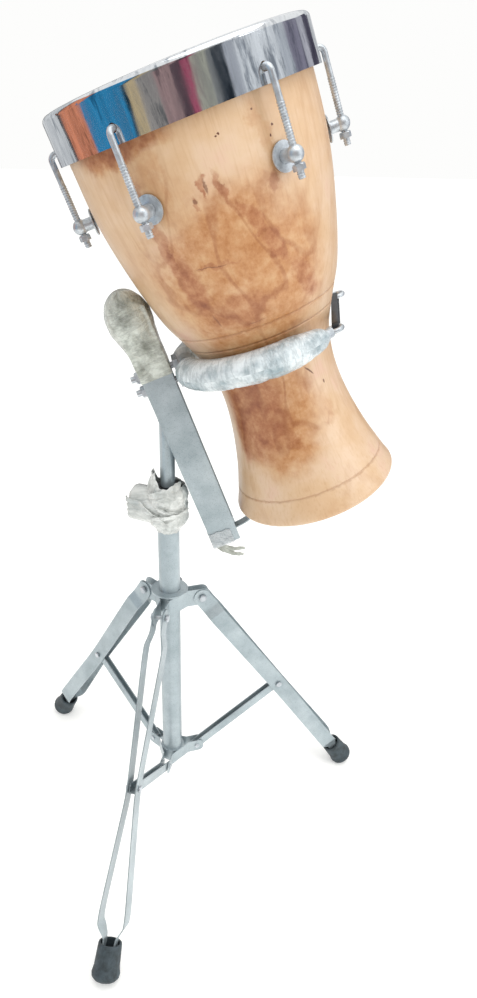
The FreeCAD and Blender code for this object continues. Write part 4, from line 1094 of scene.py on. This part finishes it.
# %% The weld beads
MAST_ROUND, BEAD_SIZE, BEAD_GAP = 9.6, 1.9 * MM, 2.1 * MM
HOOK_WELD_DROP, HOOK_WELD = 526.4, ((151.2, -11), (147.4, -7), (147.4, 7), (151.2, 11))


def bead_tree():
    """Beads of uneven size along every given line."""
    tree, given = new_tree("weld_beads", Bead="NodeSocketFloat", Gap="NodeSocketFloat",
                           Seed="NodeSocketInt")
    line = add(tree, "GeometryNodeMeshToCurve", {"Mesh": given["Mesh"]})
    steps = add(tree, "GeometryNodeResampleCurve", {"Curve": line, "Length": given["Gap"]}, mode="LENGTH")
    bead = add(tree, "GeometryNodeMeshIcoSphere", {"Radius": given["Bead"], "Subdivisions": 2})
    uneven = add(tree, "FunctionNodeRandomValue", {0: (0.7, 0.7, 0.6), 1: (1.35, 1.3, 1.2),
                                                   "Seed": given["Seed"]}, data_type="FLOAT_VECTOR")
    beads = add(tree, "GeometryNodeInstanceOnPoints", {"Points": steps, "Instance": bead, "Scale": uneven})
    finish_tree(tree, given, beads)
    return tree


def make_welds(steps=60):
    points = []
    for index in range(steps):
        turn = 2 * math.pi * index / steps
        x, y = MAST_ROUND * math.cos(turn) * MM, MAST_ROUND * math.sin(turn) * MM
        points.append((x, y, WEB_TOP - x * WEB_SLOPE))
    edges = [(index, (index + 1) % steps) for index in range(steps)]
    tree = bead_tree()
    grow("mast_weld", tree, points, edges, "mast", "silver_paint", silver,
         Bead=BEAD_SIZE, Gap=BEAD_GAP, Seed=7)
    hook_line = [beside(radius, HOOK_WELD_DROP, across) for radius, across in HOOK_WELD]
    grow("hook_weld", tree, hook_line, [(0, 1), (1, 2), (2, 3)], "mast", "silver_paint", silver,
         Bead=BEAD_SIZE, Gap=BEAD_GAP, Seed=11)


make_welds()


# %% [markdown]
# ### The film left on the channel
# A last scrap of packing film clings round the channel's lower end, and its torn tail hangs from the corner.
# The scrap is a thin sheet bent round three sides of the channel, and the tail two narrow strips.

# %% The scrap and its tail
SCRAP_LOW, SCRAP_HIGH, SCRAP_SWEEP = 506, 528, 118
TAILS = (((150, 520), (143, 531), (131, 540), (117, 545)), ((151, 521), (144, 536), (133, 547), (122, 553)))


def make_scrap(turns=120, rows=16):
    rings = []
    for index in range(turns + 1):
        turn = math.radians(lerp(-SCRAP_SWEEP, SCRAP_SWEEP, index / turns))
        out, across = math.cos(turn), math.sin(turn)
        torn = 5 * noise.noise(Vector((turn * 2.2, 4, 0)))
        outer, inner = [], []
        for row in range(rows + 1):
            drop = lerp(SCRAP_LOW + torn, SCRAP_HIGH, row / rows)
            fold = folds((20 * out, 20 * across, drop), (8, 8, 12))
            radius = channel_section(turn, CHANNEL_HALF + 0.8) + 1.1 * fold
            for column, reach in ((outer, radius), (inner, radius - FILM_THICK)):
                column.append(beside(CHANNEL_MIDDLE + reach * out, drop, reach * across))
        rings.append(outer + inner[::-1])

    def chart(i, j):
        return (i / turns * 0.1, j / rows * 0.02)

    # The fourth colour is the painted shade in the scrap's creases.
    clear_scrap = crinkled_film("clear_film_scrap", "#a9b4b9", "#eef2f4", "#7b868b", (1, 1, 1), 0.45)
    return settle(skin("channel_end_film", rings, chart=chart), "mast", "film", clear_scrap)


def make_tail(number, route, steps=24, points=14):
    """A narrow strip that follows (radius, drop) points along the channel's near side."""
    rings = []
    for index in range(steps + 1):
        along = index / steps * (len(route) - 1)
        leg = min(int(along), len(route) - 2)
        start, end = Vector(route[leg]), Vector(route[leg + 1])
        radius, drop = start.lerp(end, along - leg)
        ahead = (end - start).normalized()
        across = -16.5 + 2.5 * noise.noise(Vector((along, number, 2)))
        half = 4.0 * (1 - 0.45 * index / steps) * (1 + 0.3 * noise.noise(Vector((along * 3, number, 7))))
        ring = []
        for step in range(points):
            turn = 2 * math.pi * step / points
            side = half * math.cos(turn)
            ring.append(beside(radius - ahead.y * side, drop + ahead.x * side, across + 0.5 * math.sin(turn)))
        rings.append(ring)

    def chart(i, j):
        return (i / steps * 0.04, j / points * 0.012)

    settle(skin(f"torn_film_tail_{number}", rings, chart=chart), "mast", "film", dusty_wrap)


make_scrap()
for number, route in enumerate(TAILS, start=1):
    make_tail(number, route)
